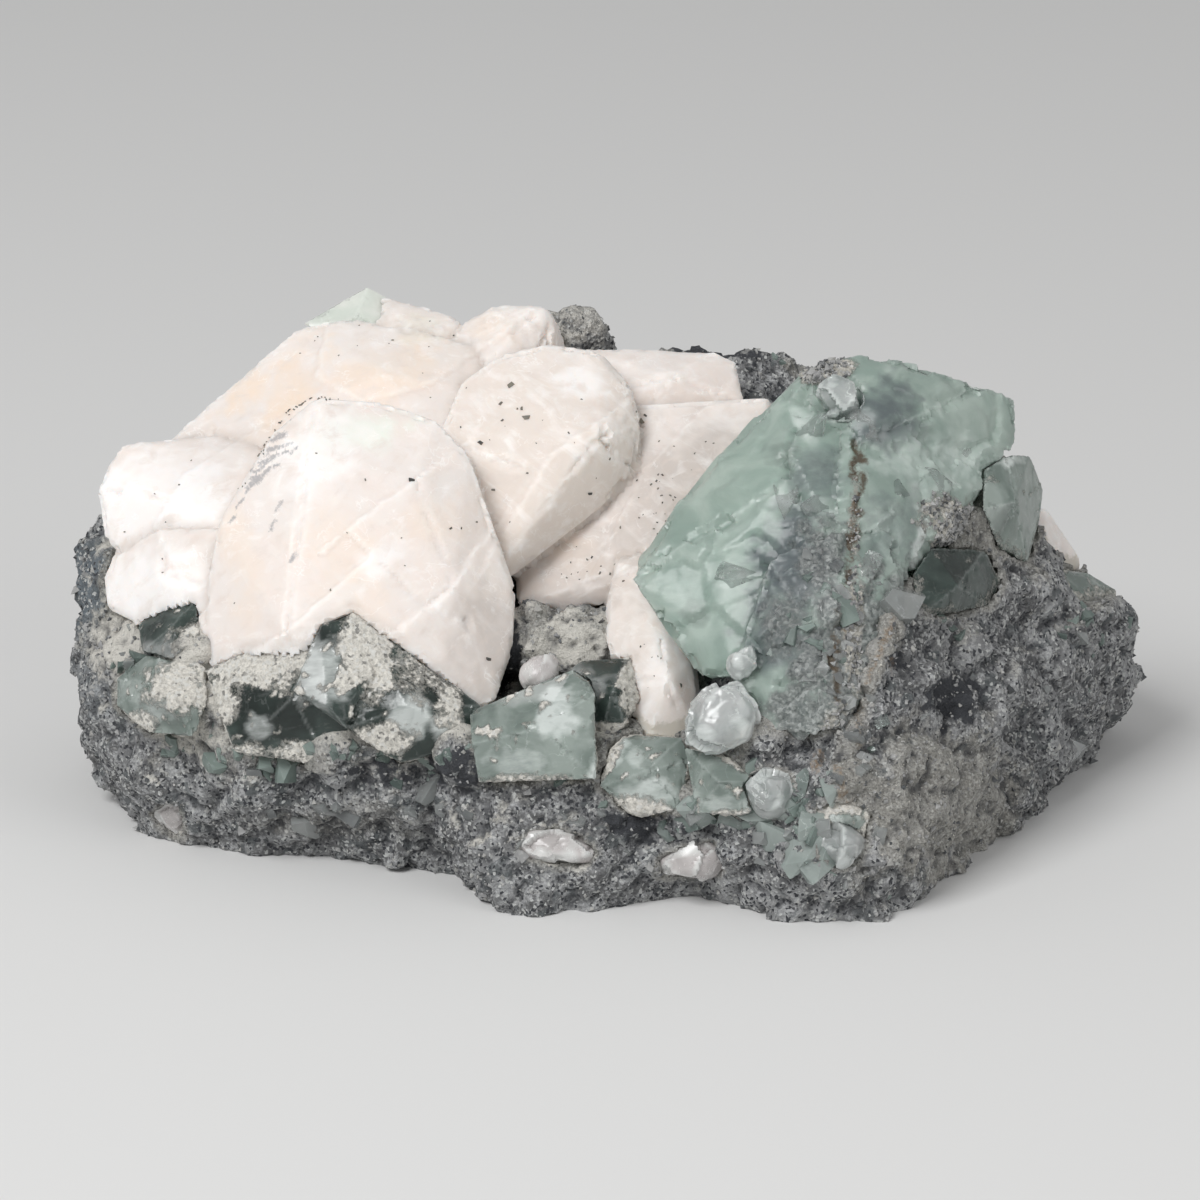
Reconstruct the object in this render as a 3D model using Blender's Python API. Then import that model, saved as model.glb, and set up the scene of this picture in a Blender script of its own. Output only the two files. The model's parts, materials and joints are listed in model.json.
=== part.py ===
"""A natural mineral specimen: white calcite crystals and green fluorite on a grey granular rock.

Run with: blender --background --python part.py

Places are given the way the specimen is looked at from the front: how far across from the middle,
how far up from the lowest front edge, and how deep behind the middle plane, all in millimetres.
The function at() turns such a place into a point of the model, in metres, +Z up.
"""

import math
from collections import namedtuple

import bmesh
import bpy
from mathutils import Vector, noise

MM = 0.001

# The front view: looking along +Y and down, from a little under a metre away.
VIEW_TILT = math.radians(18)
VIEW_DISTANCE = 780.0
VIEW_MIDDLE_UP = 40.7
VIEW_MIDDLE_HEIGHT = 28.2

SEAT_GAP = 0.32  # a crystal and what it sits in stay this far apart
MOST_SWELL = 2.5  # how many seat gaps a sharp corner of a cutter moves out at most

# Behind its rim a crystal tapers: share of its thickness, share of the rim's size.
BACK_RINGS = [(0.5, 0.95), (1.0, 0.66)]

ROCK_VOXEL = 1.5
ROCK_FACES = 3000
ROCK_ROUGHNESS = [(16, 2.0), (6, 1.7), (3, 1.0)]  # lump size and height

PEBBLE_FACES = 9
PEBBLE_FACE_AT = 0.86  # how far out of a round pebble its worn faces lie
GOLDEN_ANGLE = math.radians(137.5)


def at(across, up, depth):
    """The point that the front view shows this far across and up, at this depth behind the middle."""
    rise = up - VIEW_MIDDLE_UP
    sine, cosine = math.sin(VIEW_TILT), math.cos(VIEW_TILT)
    beyond = (depth - rise * sine) / (cosine + rise * sine / VIEW_DISTANCE)
    spread = 1 + beyond / VIEW_DISTANCE
    height = VIEW_MIDDLE_HEIGHT + rise * spread * cosine - beyond * sine
    return Vector((across * spread, depth, height)) * MM


# The rock, as overlapping lumps: each is the hull of a few corners, (x, y, z) in millimetres.
ROCK_LUMPS = {
    "left_slab": [
        (-65, 24, -3), (-63, 4, -3), (-58, -10, -3), (-50, -15, -3), (-36, -20, -3), (-19, -24, -3),
        (-14, 40, -3), (-52, 36, -3),
        (-70, 18, 10), (-67, 0, 9), (-61, -16, 8), (-49, -23, 9), (-33, -28, 10), (-17, -31, 9),
        (-14, 45, 12), (-55, 39, 12),
        (-68, 4, 24), (-63, -13, 22), (-49, -22, 20), (-32, -28, 19), (-17, -31, 19),
        (-14, 43, 27), (-53, 35, 27), (-67, 18, 27),
    ],
    "middle_slab": [
        (-19, -25, -3), (-12, -40, -3), (-5, -38, -3), (3, -34, -3), (16, -34, -3), (24, 38, -3), (-24, 40, -3),
        (-19, -31, 9), (-11, -40, 8), (2, -37, 9), (16, -37, 9), (24, 44, 12), (-24, 45, 12),
        (-18, -30, 18), (-8, -35, 19), (4, -35, 19), (16, -36, 19), (20, 40, 28), (-24, 40, 28),
    ],
    "right_slab": [
        (12, -33, -3), (18, -37, -3), (26, -43, -3), (36, -42, -3), (39, -32, -3), (44, -20, -3), (52, -3, -3),
        (59, 7, -3), (64, 19, -3), (67, 31, -3), (58, 37, -3), (16, 40, -3),
        (12, -37, 9), (25, -45, 8), (38, -43, 8), (42, -29, 10), (56, -3, 10), (66, 10, 11), (72, 22, 9),
        (72, 30, 9), (62, 39, 11), (16, 45, 12),
        (14, -37, 20), (28, -43, 20), (37, -40, 20), (43, -27, 22), (61, 0, 24), (69, 14, 21), (70, 26, 20),
        (58, 37, 24), (20, 41, 28), (62, 18, 28),
    ],
    "right_tower": [
        (14, -26, 14), (20, -36, 14), (30, -43, 14), (36, -42, 12), (43, -28, 12), (51, -14, 12), (61, 2, 12),
        (66, 18, 16), (56, 30, 16), (20, 30, 14),
        (16, -31, 25), (26, -38, 27), (34, -38, 27), (41, -27, 30), (49, -13, 31), (58, 2, 31), (62, 14, 28),
        (58, 24, 29),
        (22, -27, 37), (32, -29, 40), (38, -23, 40), (45, -11, 41), (53, 2, 42), (56, 10, 41), (50, 20, 42),
        (24, 16, 40),
        (25, -12, 50), (34, -14, 52), (44, -4, 51), (49, 6, 50), (44, 14, 50), (28, 10, 50),
        (28, -5, 57), (40, -3, 58), (44, 4, 56), (34, 8, 56),
    ],
    "back_wall": [
        (-45, 8, 12), (30, 6, 12), (40, 43, 10), (-40, 45, 10), (-50, 30, 28), (-46, 14, 34),
        (-38, 22, 46), (-22, 28, 52), (0, 30, 52), (20, 27, 52), (30, 28, 48), (30, 38, 40),
        (0, 42, 44), (-32, 40, 38), (-20, 8, 40), (10, 8, 38),
    ],
    "back_ridge": [
        (8, 25, 42), (30, 25, 42), (8, 38, 42), (30, 38, 40), (12, 30, 55.5), (20, 29, 56), (27, 31, 54),
        (29, 34, 50),
    ],
    "back_knob": [
        (-14, 28, 40), (4, 28, 40), (6, 42, 40), (-16, 42, 40), (-11, 31, 57), (-5, 31, 59), (0, 33, 57),
        (2, 38, 52), (-8, 40, 54),
    ],
    "back_left_knob": [
        (-34, 26, 38), (-18, 26, 38), (-18, 40, 38), (-34, 40, 38), (-30, 29, 57), (-23, 29, 58), (-19, 32, 55),
        (-28, 38, 50),
    ],
    "left_shoulder": [
        (-66, 4, 10), (-50, -10, 12), (-45, 30, 10), (-66, 0, 28), (-68, 10, 30), (-65, 12, 35),
        (-57, 10, 38), (-50, -2, 32), (-50, 24, 36), (-61, 26, 26),
    ],
}

# A crystal is the hull of its rim and the points where its face stands out, as the front view shows them,
# each (across, up, depth), and of its rim again further back, where it has leaned this far (across, up).
Crystal = namedtuple("Crystal", "thick rim face lean", defaults=[(0, 0)])

# The blocks: each is one piece, of crystals grown together. A piece further down makes room for those above.
FLUORITE = {
    "fluorite_summit": [
        Crystal(
            10,
            [
                (-30.3, 81.4, 23), (-38.5, 76.6, 20), (-35, 74.6, 18), (-31, 74.6, 17.5), (-28.2, 76.6, 19),
                (-27.6, 80, 23),
            ],
            [(-32, 77, 18.5)],
        ),
    ],
    "fluorite_left_dark": [
        Crystal(
            12,
            [(-60, 37.4, -11), (-57, 40, -11), (-52.5, 41, -13), (-52, 36, -18), (-55.4, 33, -20), (-59.5, 34, -16)],
            [(-56, 37, -17)],
        ),
    ],
    "fluorite_left_corner": [
        Crystal(
            12,
            [
                (-56.7, 35.2, -17), (-51.3, 32, -20), (-51, 27.7, -23), (-52.8, 23, -25), (-58.6, 23.5, -22),
                (-62.8, 27, -17), (-62.8, 30.5, -15),
            ],
            [(-58.5, 30, -22), (-55, 27, -25)],
        ),
    ],
    "fluorite_front_left": [
        Crystal(
            12,
            [(-51.5, 31.5, -21), (-36.5, 38, -23), (-31.5, 26.5, -29), (-35, 19, -30), (-47.5, 21, -27)],
            [(-40, 28, -29)],
        ),
        Crystal(
            12,
            [(-36.4, 37.4, -25), (-40, 29, -30), (-33, 24, -33), (-29.5, 31, -30), (-32, 39.2, -24)],
            [(-35.5, 27, -33)],
        ),
        Crystal(
            11,
            [(-32.2, 39.3, -24), (-15.5, 27, -29), (-16, 22, -32), (-26, 19.5, -33), (-33, 24, -32)],
            [(-25, 27, -33)],
        ),
    ],
    "fluorite_front_centre": [
        Crystal(
            12,
            [
                (-17, 26.2, -32), (-8.6, 29.6, -31), (-3.6, 31.6, -30), (-1.6, 30.4, -31), (-0.6, 28.6, -34),
                (-0.5, 17.5, -40), (-15.8, 17, -37), (-16.7, 22, -36),
            ],
            [(-8, 24, -38)],
        ),
    ],
    "fluorite_centre_back": [
        Crystal(
            8,
            [(-4.2, 31.5, -25), (-2.4, 32.8, -23), (4, 33.2, -23), (5.2, 28, -27), (3.2, 24.2, -30), (-0.2, 22, -31)],
            [(1.8, 29.5, -29)],
        ),
    ],
    "fluorite_front_right": [
        Crystal(
            12,
            [
                (0, 16.5, -38), (1.4, 21.5, -36), (3.8, 23.2, -34), (10.6, 22.8, -34), (11.8, 19.9, -36),
                (10.4, 13.5, -40), (4.5, 12.5, -40),
            ],
            [(6, 18.5, -40)],
        ),
    ],
    "fluorite_low_right": [
        Crystal(
            12,
            [(11, 21.5, -36), (17, 20, -39), (20.5, 17, -42), (19.5, 12.8, -43.5), (12.5, 13, -41)],
            [(15.5, 17, -42)],
        ),
    ],
    "fluorite_low_corner": [
        Crystal(
            12,
            [
                (26, 15.5, -41), (31, 15.8, -41), (35.2, 13, -42), (34, 8.6, -43), (29, 7.6, -43.5),
                (25, 10.5, -43),
            ],
            [(30.5, 12, -45)],
        ),
    ],
    "fluorite_dark_right": [
        Crystal(
            12,
            [
                (40.6, 44, -24), (43, 47.5, -19), (50, 47.2, -10), (52.2, 43, -8), (50.6, 40, -12),
                (41.5, 38.2, -26),
            ],
            [(46.5, 42.5, -20)],
        ),
    ],
    "fluorite_right_shoulder": [
        Crystal(
            12,
            [
                (49.9, 57.5, -5), (53, 59.6, -1), (55.9, 59.5, 4), (57.6, 55, 6), (57.1, 51, 4), (55.5, 45.5, -2),
                (51.8, 47.5, -7), (49.8, 52.4, -8),
            ],
            [(54, 53.5, -5)],
        ),
    ],
    "fluorite_far_right": [
        Crystal(
            10,
            [(58, 45, 10), (63.5, 44.2, 16), (67, 42, 20), (67.8, 38, 20), (63, 38, 10), (58, 40, 2)],
            [(63, 41.5, 10)],
        ),
    ],
    "fluorite_mass": [
        Crystal(
            12,
            [
                (4, 43.7, -22), (5, 46, -20), (11.6, 55, -14), (16, 60.2, -11), (20.7, 64.7, -9), (25.9, 69.6, -7),
                (27.4, 71.6, -6), (32.4, 67, -10), (33.5, 60, -17), (31, 48, -27), (25, 40.7, -30),
                (18, 30.5, -33), (13, 30.5, -30), (9.2, 38, -25), (6.1, 40.7, -23),
            ],
            [(16, 46, -25), (24, 56, -21), (16, 36, -30)],
        ),
        Crystal(
            14,
            [
                (27.4, 71.6, -6), (33.7, 72.8, -5), (38.9, 72.2, -4), (44, 70.6, -3), (49.9, 68.9, 0),
                (53.8, 66.7, 3), (54.2, 62.8, 2), (53.4, 59.5, -1), (49.3, 58, -5), (41.5, 59, -11),
                (34, 61, -17), (30, 66, -12),
            ],
            [(42, 65, -9)],
            (-4, -6),
        ),
        Crystal(
            14,
            [
                (31, 63, -16), (42, 62, -10), (51, 59, -3), (50, 55, -7), (45.5, 50, -14), (43, 44, -21),
                (38.5, 43, -25), (30, 46, -29),
            ],
            [(38, 52, -22)],
        ),
        Crystal(
            12,
            [
                (22, 46, -29), (30, 50, -27), (38, 50, -23), (40, 43, -26), (37, 34, -33), (33.5, 26, -39),
                (28, 23, -42), (21, 24, -39), (17, 30, -35),
            ],
            [(29, 34, -38)],
        ),
    ],
}
DARK_FLUORITE = ("fluorite_left_dark", "fluorite_front_left", "fluorite_centre_back", "fluorite_dark_right")

CALCITE = {
    "calcite_back_right": [
        Crystal(
            8,
            [(54, 53, 20), (58, 52.6, 20), (60.3, 48, 22), (62.5, 46, 24), (62, 42, 24), (55, 42, 20)],
            [(58, 48, 17)],
        ),
    ],
    "calcite_crystals": [
        # the large one in front
        Crystal(
            20,
            [
                (-52.5, 35.5, -17), (-49.5, 51, -12), (-46.5, 56, -10), (-42.5, 62.5, -8), (-37, 67, -6),
                (-28.5, 66.5, -6), (-21.5, 64, -8), (-17, 59.5, -10), (-13, 48, -14), (-11, 42, -17),
                (-11.3, 34, -21), (-13.5, 28, -25), (-16, 26.5, -26), (-36, 26, -25), (-50, 31, -20),
            ],
            [
                (-24, 56.5, -15), (-33, 50, -19), (-29.5, 46.5, -21), (-41, 36.5, -25.5), (-19, 42.5, -22),
                (-27, 36.5, -26), (-38, 60, -13),
            ],
        ),
        # the one right of it, in the middle
        Crystal(
            20,
            [
                (-21, 62, -4), (-18, 69, 3), (-13, 72.5, 6), (-7, 74, 8), (0, 73, 8), (4, 68.5, 5), (5.5, 63.5, 2),
                (4.6, 57.5, -1), (0.5, 53, -4), (-8, 46.5, -8), (-11, 44, -9), (-17, 40, -12),
            ],
            [(-10.5, 58, -7), (0, 62, -4.5), (-7, 53, -9), (-8, 66, -1)],
        ),
        # behind that, a plate
        Crystal(
            20,
            [
                (-4, 73.5, 22), (6.5, 73.3, 21), (15, 73, 21), (18, 71.5, 20), (19, 66, 15), (4, 60, 8),
                (-6, 66, 12),
            ],
            [(9, 70, 14)],
            (-6, -5),
        ),
        # under the middle one, in its shade
        Crystal(
            24,
            [
                (4, 66, 8), (13, 66.5, 8), (22, 67, 8), (26, 58, 2), (22, 50, -6), (6, 45, -11), (1.5, 40.5, -10),
                (-3.5, 39, -9), (-11, 40, -8), (-11, 46, -2), (-2, 58, 3),
            ],
            [(8, 52, -6), (14, 58, -1), (-2, 43, -9)],
        ),
        # the slab beside the large fluorite
        Crystal(
            14,
            [
                (2, 46, -10), (8, 48, -8), (12, 40, -15), (12.5, 33, -21), (13, 28, -24), (12, 22, -28),
                (6, 22, -29), (5, 26, -27), (2.5, 31, -24), (0.8, 35, -20), (0.7, 39, -16),
            ],
            [(7, 40, -19), (9, 30, -27)],
        ),
        # at the left edge, upper and lower
        Crystal(
            22,
            [
                (-65.5, 55, 2), (-64, 58.5, 4), (-62, 61, 6), (-55, 61.5, 7), (-47, 63, 8), (-43, 60, 2),
                (-46, 50, -8), (-50, 44, -10), (-60, 44.5, -5), (-64.5, 48.5, -1),
            ],
            [(-57, 54, -3), (-50, 56, -2)],
            (8, -6),
        ),
        Crystal(
            18,
            [
                (-64.5, 43.5, -4), (-64, 39.5, -7), (-59, 37, -12), (-53, 38, -15), (-49, 42, -15),
                (-50, 50, -9), (-57, 50, -6), (-63, 47, -3),
            ],
            [(-57, 44, -12)],
        ),
        # the slope above the front one
        Crystal(
            22,
            [
                (-57, 61, 9), (-51.5, 63.5, 11), (-46.5, 68, 13), (-40.5, 74.5, 17), (-39, 76.5, 18),
                (-33, 77, 18), (-26, 76.5, 17), (-16, 74, 14), (-14, 68, 6), (-22, 62, 0), (-40, 56, -2),
                (-50, 56, 2),
            ],
            [(-40, 66, 6), (-28, 70, 7)],
            (9, -9),
        ),
        # the two summits
        Crystal(
            18,
            [
                (-31, 78, 21), (-28, 80, 22), (-23, 79, 22), (-18, 77.3, 21), (-16, 72, 16), (-26, 71, 13),
                (-34, 74, 17),
            ],
            [(-25, 76, 16)],
            (-3, -7),
        ),
        Crystal(
            20,
            [
                (-18, 77, 19), (-14, 79, 20), (-10, 79.2, 20), (-7, 79, 20), (-6, 77, 19), (-6.5, 73, 16),
                (-10, 68, 8), (-17, 68, 8), (-20, 73, 14),
            ],
            [(-12, 75, 13)],
            (4, -6),
        ),
    ],
}

# Rounded crystals: middle as the front view shows it, half sizes (across, up, deep), turn in degrees.
QUARTZ = {
    "quartz_large": ((15.6, 25.2, -38.5), (4.7, 5.2, 4.0), 25),
    "quartz_small": ((22.0, 15.8, -42.0), (3.1, 3.1, 2.6), -15),
    "quartz_high": ((18.5, 32.8, -35.0), (1.5, 2.5, 1.6), 30),
    "quartz_crest": ((31.0, 66.6, -10.5), (2.6, 3.6, 2.2), -20),
    "quartz_low": ((30.5, 9.0, -43.5), (3.8, 3.0, 2.8), 10),
}
SMALL_CALCITE = {
    "calcite_pebble": ((-7.5, 31.2, -26), (2.6, 2.6, 2.4), 10),
    "calcite_low_left": ((-54.5, 13.5, -14), (3.3, 3.6, 3.0), 35),
    "calcite_low_centre": ((-5.5, 8.6, -38), (5.8, 2.2, 3.0), 4),
    "calcite_low_right": ((12.5, 7.0, -37), (5.6, 2.4, 3.0), -14),
}


def clear_scene():
    for obj in list(bpy.data.objects):
        bpy.data.objects.remove(obj)


def material(name, colour, roughness, transmission=0.0):
    made = bpy.data.materials.new(name)
    made.use_nodes = True
    shader = made.node_tree.nodes["Principled BSDF"]
    shader.inputs["Base Color"].default_value = (*colour, 1)
    shader.inputs["Roughness"].default_value = roughness
    shader.inputs["Metallic"].default_value = 0
    shader.inputs["Transmission Weight"].default_value = transmission
    return made


def add_object(name, shape):
    """Turns a bmesh into an object."""
    mesh = bpy.data.meshes.new(name)
    shape.to_mesh(mesh)
    shape.free()
    obj = bpy.data.objects.new(name, mesh)
    bpy.context.scene.collection.objects.link(obj)
    return obj


def add_hull(shape, points):
    """Adds the convex hull of the points to a bmesh, with its faces pointing out."""
    corners = [shape.verts.new(point) for point in points]
    made = bmesh.ops.convex_hull(shape, input=corners)
    spare = set(made["geom_interior"]) | set(made["geom_unused"])
    bmesh.ops.delete(shape, geom=[item for item in spare if isinstance(item, bmesh.types.BMVert)], context="VERTS")
    bmesh.ops.recalc_face_normals(shape, faces=shape.faces)


def crystal_points(crystal):
    """The rim and face of a crystal, and its rim again further back and drawn in."""
    points = [*crystal.rim, *crystal.face]
    middle_across, middle_up = (sum(point[axis] for point in crystal.rim) / len(crystal.rim) for axis in (0, 1))
    for deep, wide in BACK_RINGS:
        for across, up, depth in crystal.rim:
            points.append((
                middle_across + (across - middle_across) * wide + crystal.lean[0] * deep,
                middle_up + (up - middle_up) * wide + crystal.lean[1] * deep,
                depth + crystal.thick * deep,
            ))
    return [at(*point) for point in points]


def bake(obj):
    """Replaces the object's mesh by what its modifiers make of it."""
    bpy.context.view_layer.update()
    graph = bpy.context.evaluated_depsgraph_get()
    mesh = bpy.data.meshes.new_from_object(obj.evaluated_get(graph))
    obj.modifiers.clear()
    obj.data = mesh


def combine(obj, other, operation):
    """Joins the other object to this one, or cuts it out of it."""
    modifier = obj.modifiers.new(operation.lower(), "BOOLEAN")
    modifier.operation = operation
    modifier.solver = "EXACT"
    modifier.object = other
    bake(obj)


def roughen(obj, layers):
    """Moves the surface in and out by noise: layers of (lump size, height), in millimetres."""
    mesh = obj.data
    normals = [vertex.normal.copy() for vertex in mesh.vertices]
    for vertex, normal in zip(mesh.vertices, normals):
        move = sum(height * noise.noise(vertex.co / (size * MM)) for size, height in layers)
        vertex.co += normal * move * MM
    mesh.update()


def keep_largest(obj):
    """Drops the crumbs that a cut leaves beside the main body."""
    shape = bmesh.new()
    shape.from_mesh(obj.data)
    left = set(shape.verts)
    bodies = []
    while left:
        body = set()
        front = [left.pop()]
        while front:
            vertex = front.pop()
            body.add(vertex)
            near = {edge.other_vert(vertex) for edge in vertex.link_edges} & left
            left -= near
            front.extend(near)
        bodies.append(body)
    bodies.sort(key=len)
    for body in bodies[:-1]:
        bmesh.ops.delete(shape, geom=list(body), context="VERTS")
    shape.to_mesh(obj.data)
    shape.free()


def add_cutter(name, points):
    """A hidden hull that leaves a seat gap round the hull of the points."""
    shape = bmesh.new()
    add_hull(shape, points)
    shape.normal_update()
    swollen = [
        vertex.co + vertex.normal * min(vertex.calc_shell_factor(), MOST_SWELL) * SEAT_GAP * MM
        for vertex in shape.verts
    ]
    shape.clear()
    add_hull(shape, swollen)
    cutter = add_object(name + "_room", shape)
    cutter.hide_render = True
    cutter.display_type = "WIRE"
    return cutter


def boxes_meet(first, second):
    boxes = []
    for obj in (first, second):
        points = [vertex.co for vertex in obj.data.vertices]
        boxes.append([(min(p[axis] for p in points), max(p[axis] for p in points)) for axis in range(3)])
    return all(a[0] < b[1] and b[0] < a[1] for a, b in zip(*boxes))


def make_block(name, crystals, finish):
    """Crystals grown together as one flat-faced solid, and the cutters that make room for it."""
    parts = []
    cutters = []
    for crystal in crystals:
        points = crystal_points(crystal)
        shape = bmesh.new()
        add_hull(shape, points)
        parts.append(add_object(name, shape))
        cutters.append(add_cutter(name, points))
    whole, *others = parts
    for other in others:
        combine(whole, other, "UNION")
        bpy.data.objects.remove(other)
    whole.data.materials.clear()
    whole.data.materials.append(finish)
    return whole, cutters


def make_pebble(name, middle, half_sizes, turn, finish):
    """A rounded crystal with a few worn faces, and its cutter."""
    shape = bmesh.new()
    bmesh.ops.create_icosphere(shape, subdivisions=2, radius=1)
    for number in range(PEBBLE_FACES):
        angle = number * GOLDEN_ANGLE
        height = 1 - 2 * (number + 0.5) / PEBBLE_FACES
        wide = math.sqrt(1 - height * height)
        facing = Vector((wide * math.cos(angle), wide * math.sin(angle), height))
        for vertex in shape.verts:
            over = vertex.co.dot(facing) - PEBBLE_FACE_AT
            if over > 0:
                vertex.co -= facing * over
    across, up, deep = half_sizes
    sine, cosine = math.sin(math.radians(turn)), math.cos(math.radians(turn))
    for vertex in shape.verts:
        x, y, z = vertex.co.x * across, vertex.co.y * deep, vertex.co.z * up
        vertex.co = at(*middle) + Vector((x * cosine + z * sine, y, z * cosine - x * sine)) * MM
    points = [vertex.co.copy() for vertex in shape.verts]
    pebble = add_object(name, shape)
    pebble.data.materials.append(finish)
    return pebble, [add_cutter(name, points)]


def make_rock(finish):
    """The lumps fused into one rough surface, cut flat where it rests."""
    shape = bmesh.new()
    for corners in ROCK_LUMPS.values():
        add_hull(shape, [Vector(corner) * MM for corner in corners])
    rock = add_object("matrix", shape)
    fuse = rock.modifiers.new("fuse", "REMESH")
    fuse.mode = "VOXEL"
    fuse.voxel_size = ROCK_VOXEL * MM
    soften = rock.modifiers.new("soften", "SMOOTH")
    soften.iterations = 2
    bake(rock)
    roughen(rock, ROCK_ROUGHNESS)
    rock.data.calc_loop_triangles()
    thin_out = rock.modifiers.new("thin out", "DECIMATE")
    thin_out.ratio = min(1.0, ROCK_FACES / len(rock.data.loop_triangles))
    bake(rock)

    shape = bmesh.new()
    shape.from_mesh(rock.data)
    everything = [*shape.verts, *shape.edges, *shape.faces]
    cut = bmesh.ops.bisect_plane(shape, geom=everything, plane_co=(0, 0, 0), plane_no=(0, 0, -1), clear_outer=True)
    rim = [item for item in cut["geom_cut"] if isinstance(item, bmesh.types.BMEdge)]
    bmesh.ops.triangle_fill(shape, edges=rim, use_beauty=True)
    bmesh.ops.recalc_face_normals(shape, faces=shape.faces)
    shape.to_mesh(rock.data)
    shape.free()
    keep_largest(rock)
    rock.data.materials.append(finish)
    return rock, []


def centre(objects):
    """Puts the middle of the specimen's base at the origin, with an empty that carries every piece."""
    points = [vertex.co for obj in objects for vertex in obj.data.vertices]
    middle = [(min(p[axis] for p in points) + max(p[axis] for p in points)) / 2 for axis in (0, 1)]
    carrier = bpy.data.objects.new("specimen", None)
    bpy.context.scene.collection.objects.link(carrier)
    carrier.location = (-middle[0], -middle[1], 0)
    for obj in objects:
        obj.parent = carrier


def main():
    clear_scene()
    rock_finish = material("rock", (0.42, 0.42, 0.41), 0.9)
    calcite_finish = material("calcite", (0.88, 0.83, 0.80), 0.45)
    fluorite_finish = material("fluorite", (0.45, 0.62, 0.54), 0.25, 0.3)
    dark_finish = material("dark fluorite", (0.13, 0.19, 0.17), 0.25, 0.2)
    quartz_finish = material("quartz", (0.86, 0.89, 0.88), 0.15, 0.8)

    made = [make_pebble(name, *form, quartz_finish) for name, form in QUARTZ.items()]
    made += [make_pebble(name, *form, calcite_finish) for name, form in SMALL_CALCITE.items()]
    for name, crystals in FLUORITE.items():
        made.append(make_block(name, crystals, dark_finish if name in DARK_FLUORITE else fluorite_finish))
    made += [make_block(name, crystals, calcite_finish) for name, crystals in CALCITE.items()]
    made.append(make_rock(rock_finish))

    for number, (piece, _) in enumerate(made):
        for _, cutters in made[:number]:
            for cutter in cutters:
                if boxes_meet(piece, cutter):
                    combine(piece, cutter, "DIFFERENCE")
                    keep_largest(piece)
    for _, cutters in made:
        for cutter in cutters:
            bpy.data.objects.remove(cutter)
    centre([piece for piece, _ in made])


main()
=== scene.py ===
import json
import math
from collections import namedtuple

import bmesh
import bpy
import numpy as np
from bpy.props import FloatProperty, FloatVectorProperty, IntProperty, PointerProperty
from bpy.types import Operator, Panel, PropertyGroup
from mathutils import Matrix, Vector, noise
from mathutils.bvhtree import BVHTree
from mathutils.kdtree import KDTree

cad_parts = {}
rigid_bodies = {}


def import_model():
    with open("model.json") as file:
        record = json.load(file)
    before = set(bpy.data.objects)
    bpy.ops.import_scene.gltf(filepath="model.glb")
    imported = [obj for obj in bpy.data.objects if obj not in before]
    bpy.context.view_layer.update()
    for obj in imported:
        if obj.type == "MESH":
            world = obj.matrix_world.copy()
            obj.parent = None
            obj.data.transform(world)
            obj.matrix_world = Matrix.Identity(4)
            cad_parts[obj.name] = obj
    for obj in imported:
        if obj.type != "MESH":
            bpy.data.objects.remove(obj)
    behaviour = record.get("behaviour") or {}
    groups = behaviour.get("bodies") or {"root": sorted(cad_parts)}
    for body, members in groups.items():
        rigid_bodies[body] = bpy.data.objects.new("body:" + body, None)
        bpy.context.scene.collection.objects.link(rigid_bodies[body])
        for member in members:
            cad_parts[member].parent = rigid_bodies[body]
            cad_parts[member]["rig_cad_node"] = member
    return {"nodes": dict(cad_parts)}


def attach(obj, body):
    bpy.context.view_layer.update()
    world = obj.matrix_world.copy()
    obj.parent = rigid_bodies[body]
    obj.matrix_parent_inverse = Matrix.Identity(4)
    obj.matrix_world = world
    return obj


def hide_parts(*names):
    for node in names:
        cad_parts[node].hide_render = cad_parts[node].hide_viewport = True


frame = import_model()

bl_info = {
    "name": "Calcite with fluorite specimen",
    "version": (1, 0, 0),
    "blender": (4, 5, 0),
    "location": "3D View > Sidebar > Specimen",
    "description": "Dresses the solids of a calcite and fluorite specimen in their finished surfaces",
    "category": "Add Mesh",
}

MM = 0.001
BODY = "root"
MERGE_DISTANCE = 0.00001
NOISE_STEP = 17.3  # how far apart, in lumps, the noise of two seeds lies
CELL_SPREAD = 971.0  # turns a cell's place into a number of its own
NOISE_SEED = 5  # Blender's noise takes the clock for its seed unless it is given one

# The front view: looking along +Y and down, from a little under a metre away.
VIEW_TILT = math.radians(18)
VIEW_DISTANCE = 780.0
VIEW_MIDDLE_UP = 40.7
VIEW_MIDDLE_HEIGHT = 28.2
VIEW_MIDDLE_SHIFT = (-1.23, -0.74)  # where the view's middle plane lies in the frame, in millimetres
VIEW_LENS = 180.0
VIEW_SENSOR = 36.0
VIEW_ALONG = Vector((0, math.cos(VIEW_TILT), -math.sin(VIEW_TILT)))
VIEW_UP = Vector((0, math.sin(VIEW_TILT), math.cos(VIEW_TILT)))
VIEW_AIM = Vector((*VIEW_MIDDLE_SHIFT, VIEW_MIDDLE_HEIGHT))

# The fine surfaces: the size of their mesh, in millimetres.
ROCK_MESH = 0.74
CALCITE_MESH = 0.54
MASS_MESH = 0.42
BLOCK_MESH = 0.34
PEBBLE_MESH = 0.28

# How far two faces of a solid turn at their edge: where crystals meet, at a sharp rim, on one flat face.
SEAM_TURN = math.radians(-8)
RIM_TURN = math.radians(16)
FLAT_TURN = math.radians(4)
LINE_STEP = 0.3  # how close together the points along seams and rims lie, in millimetres

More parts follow.
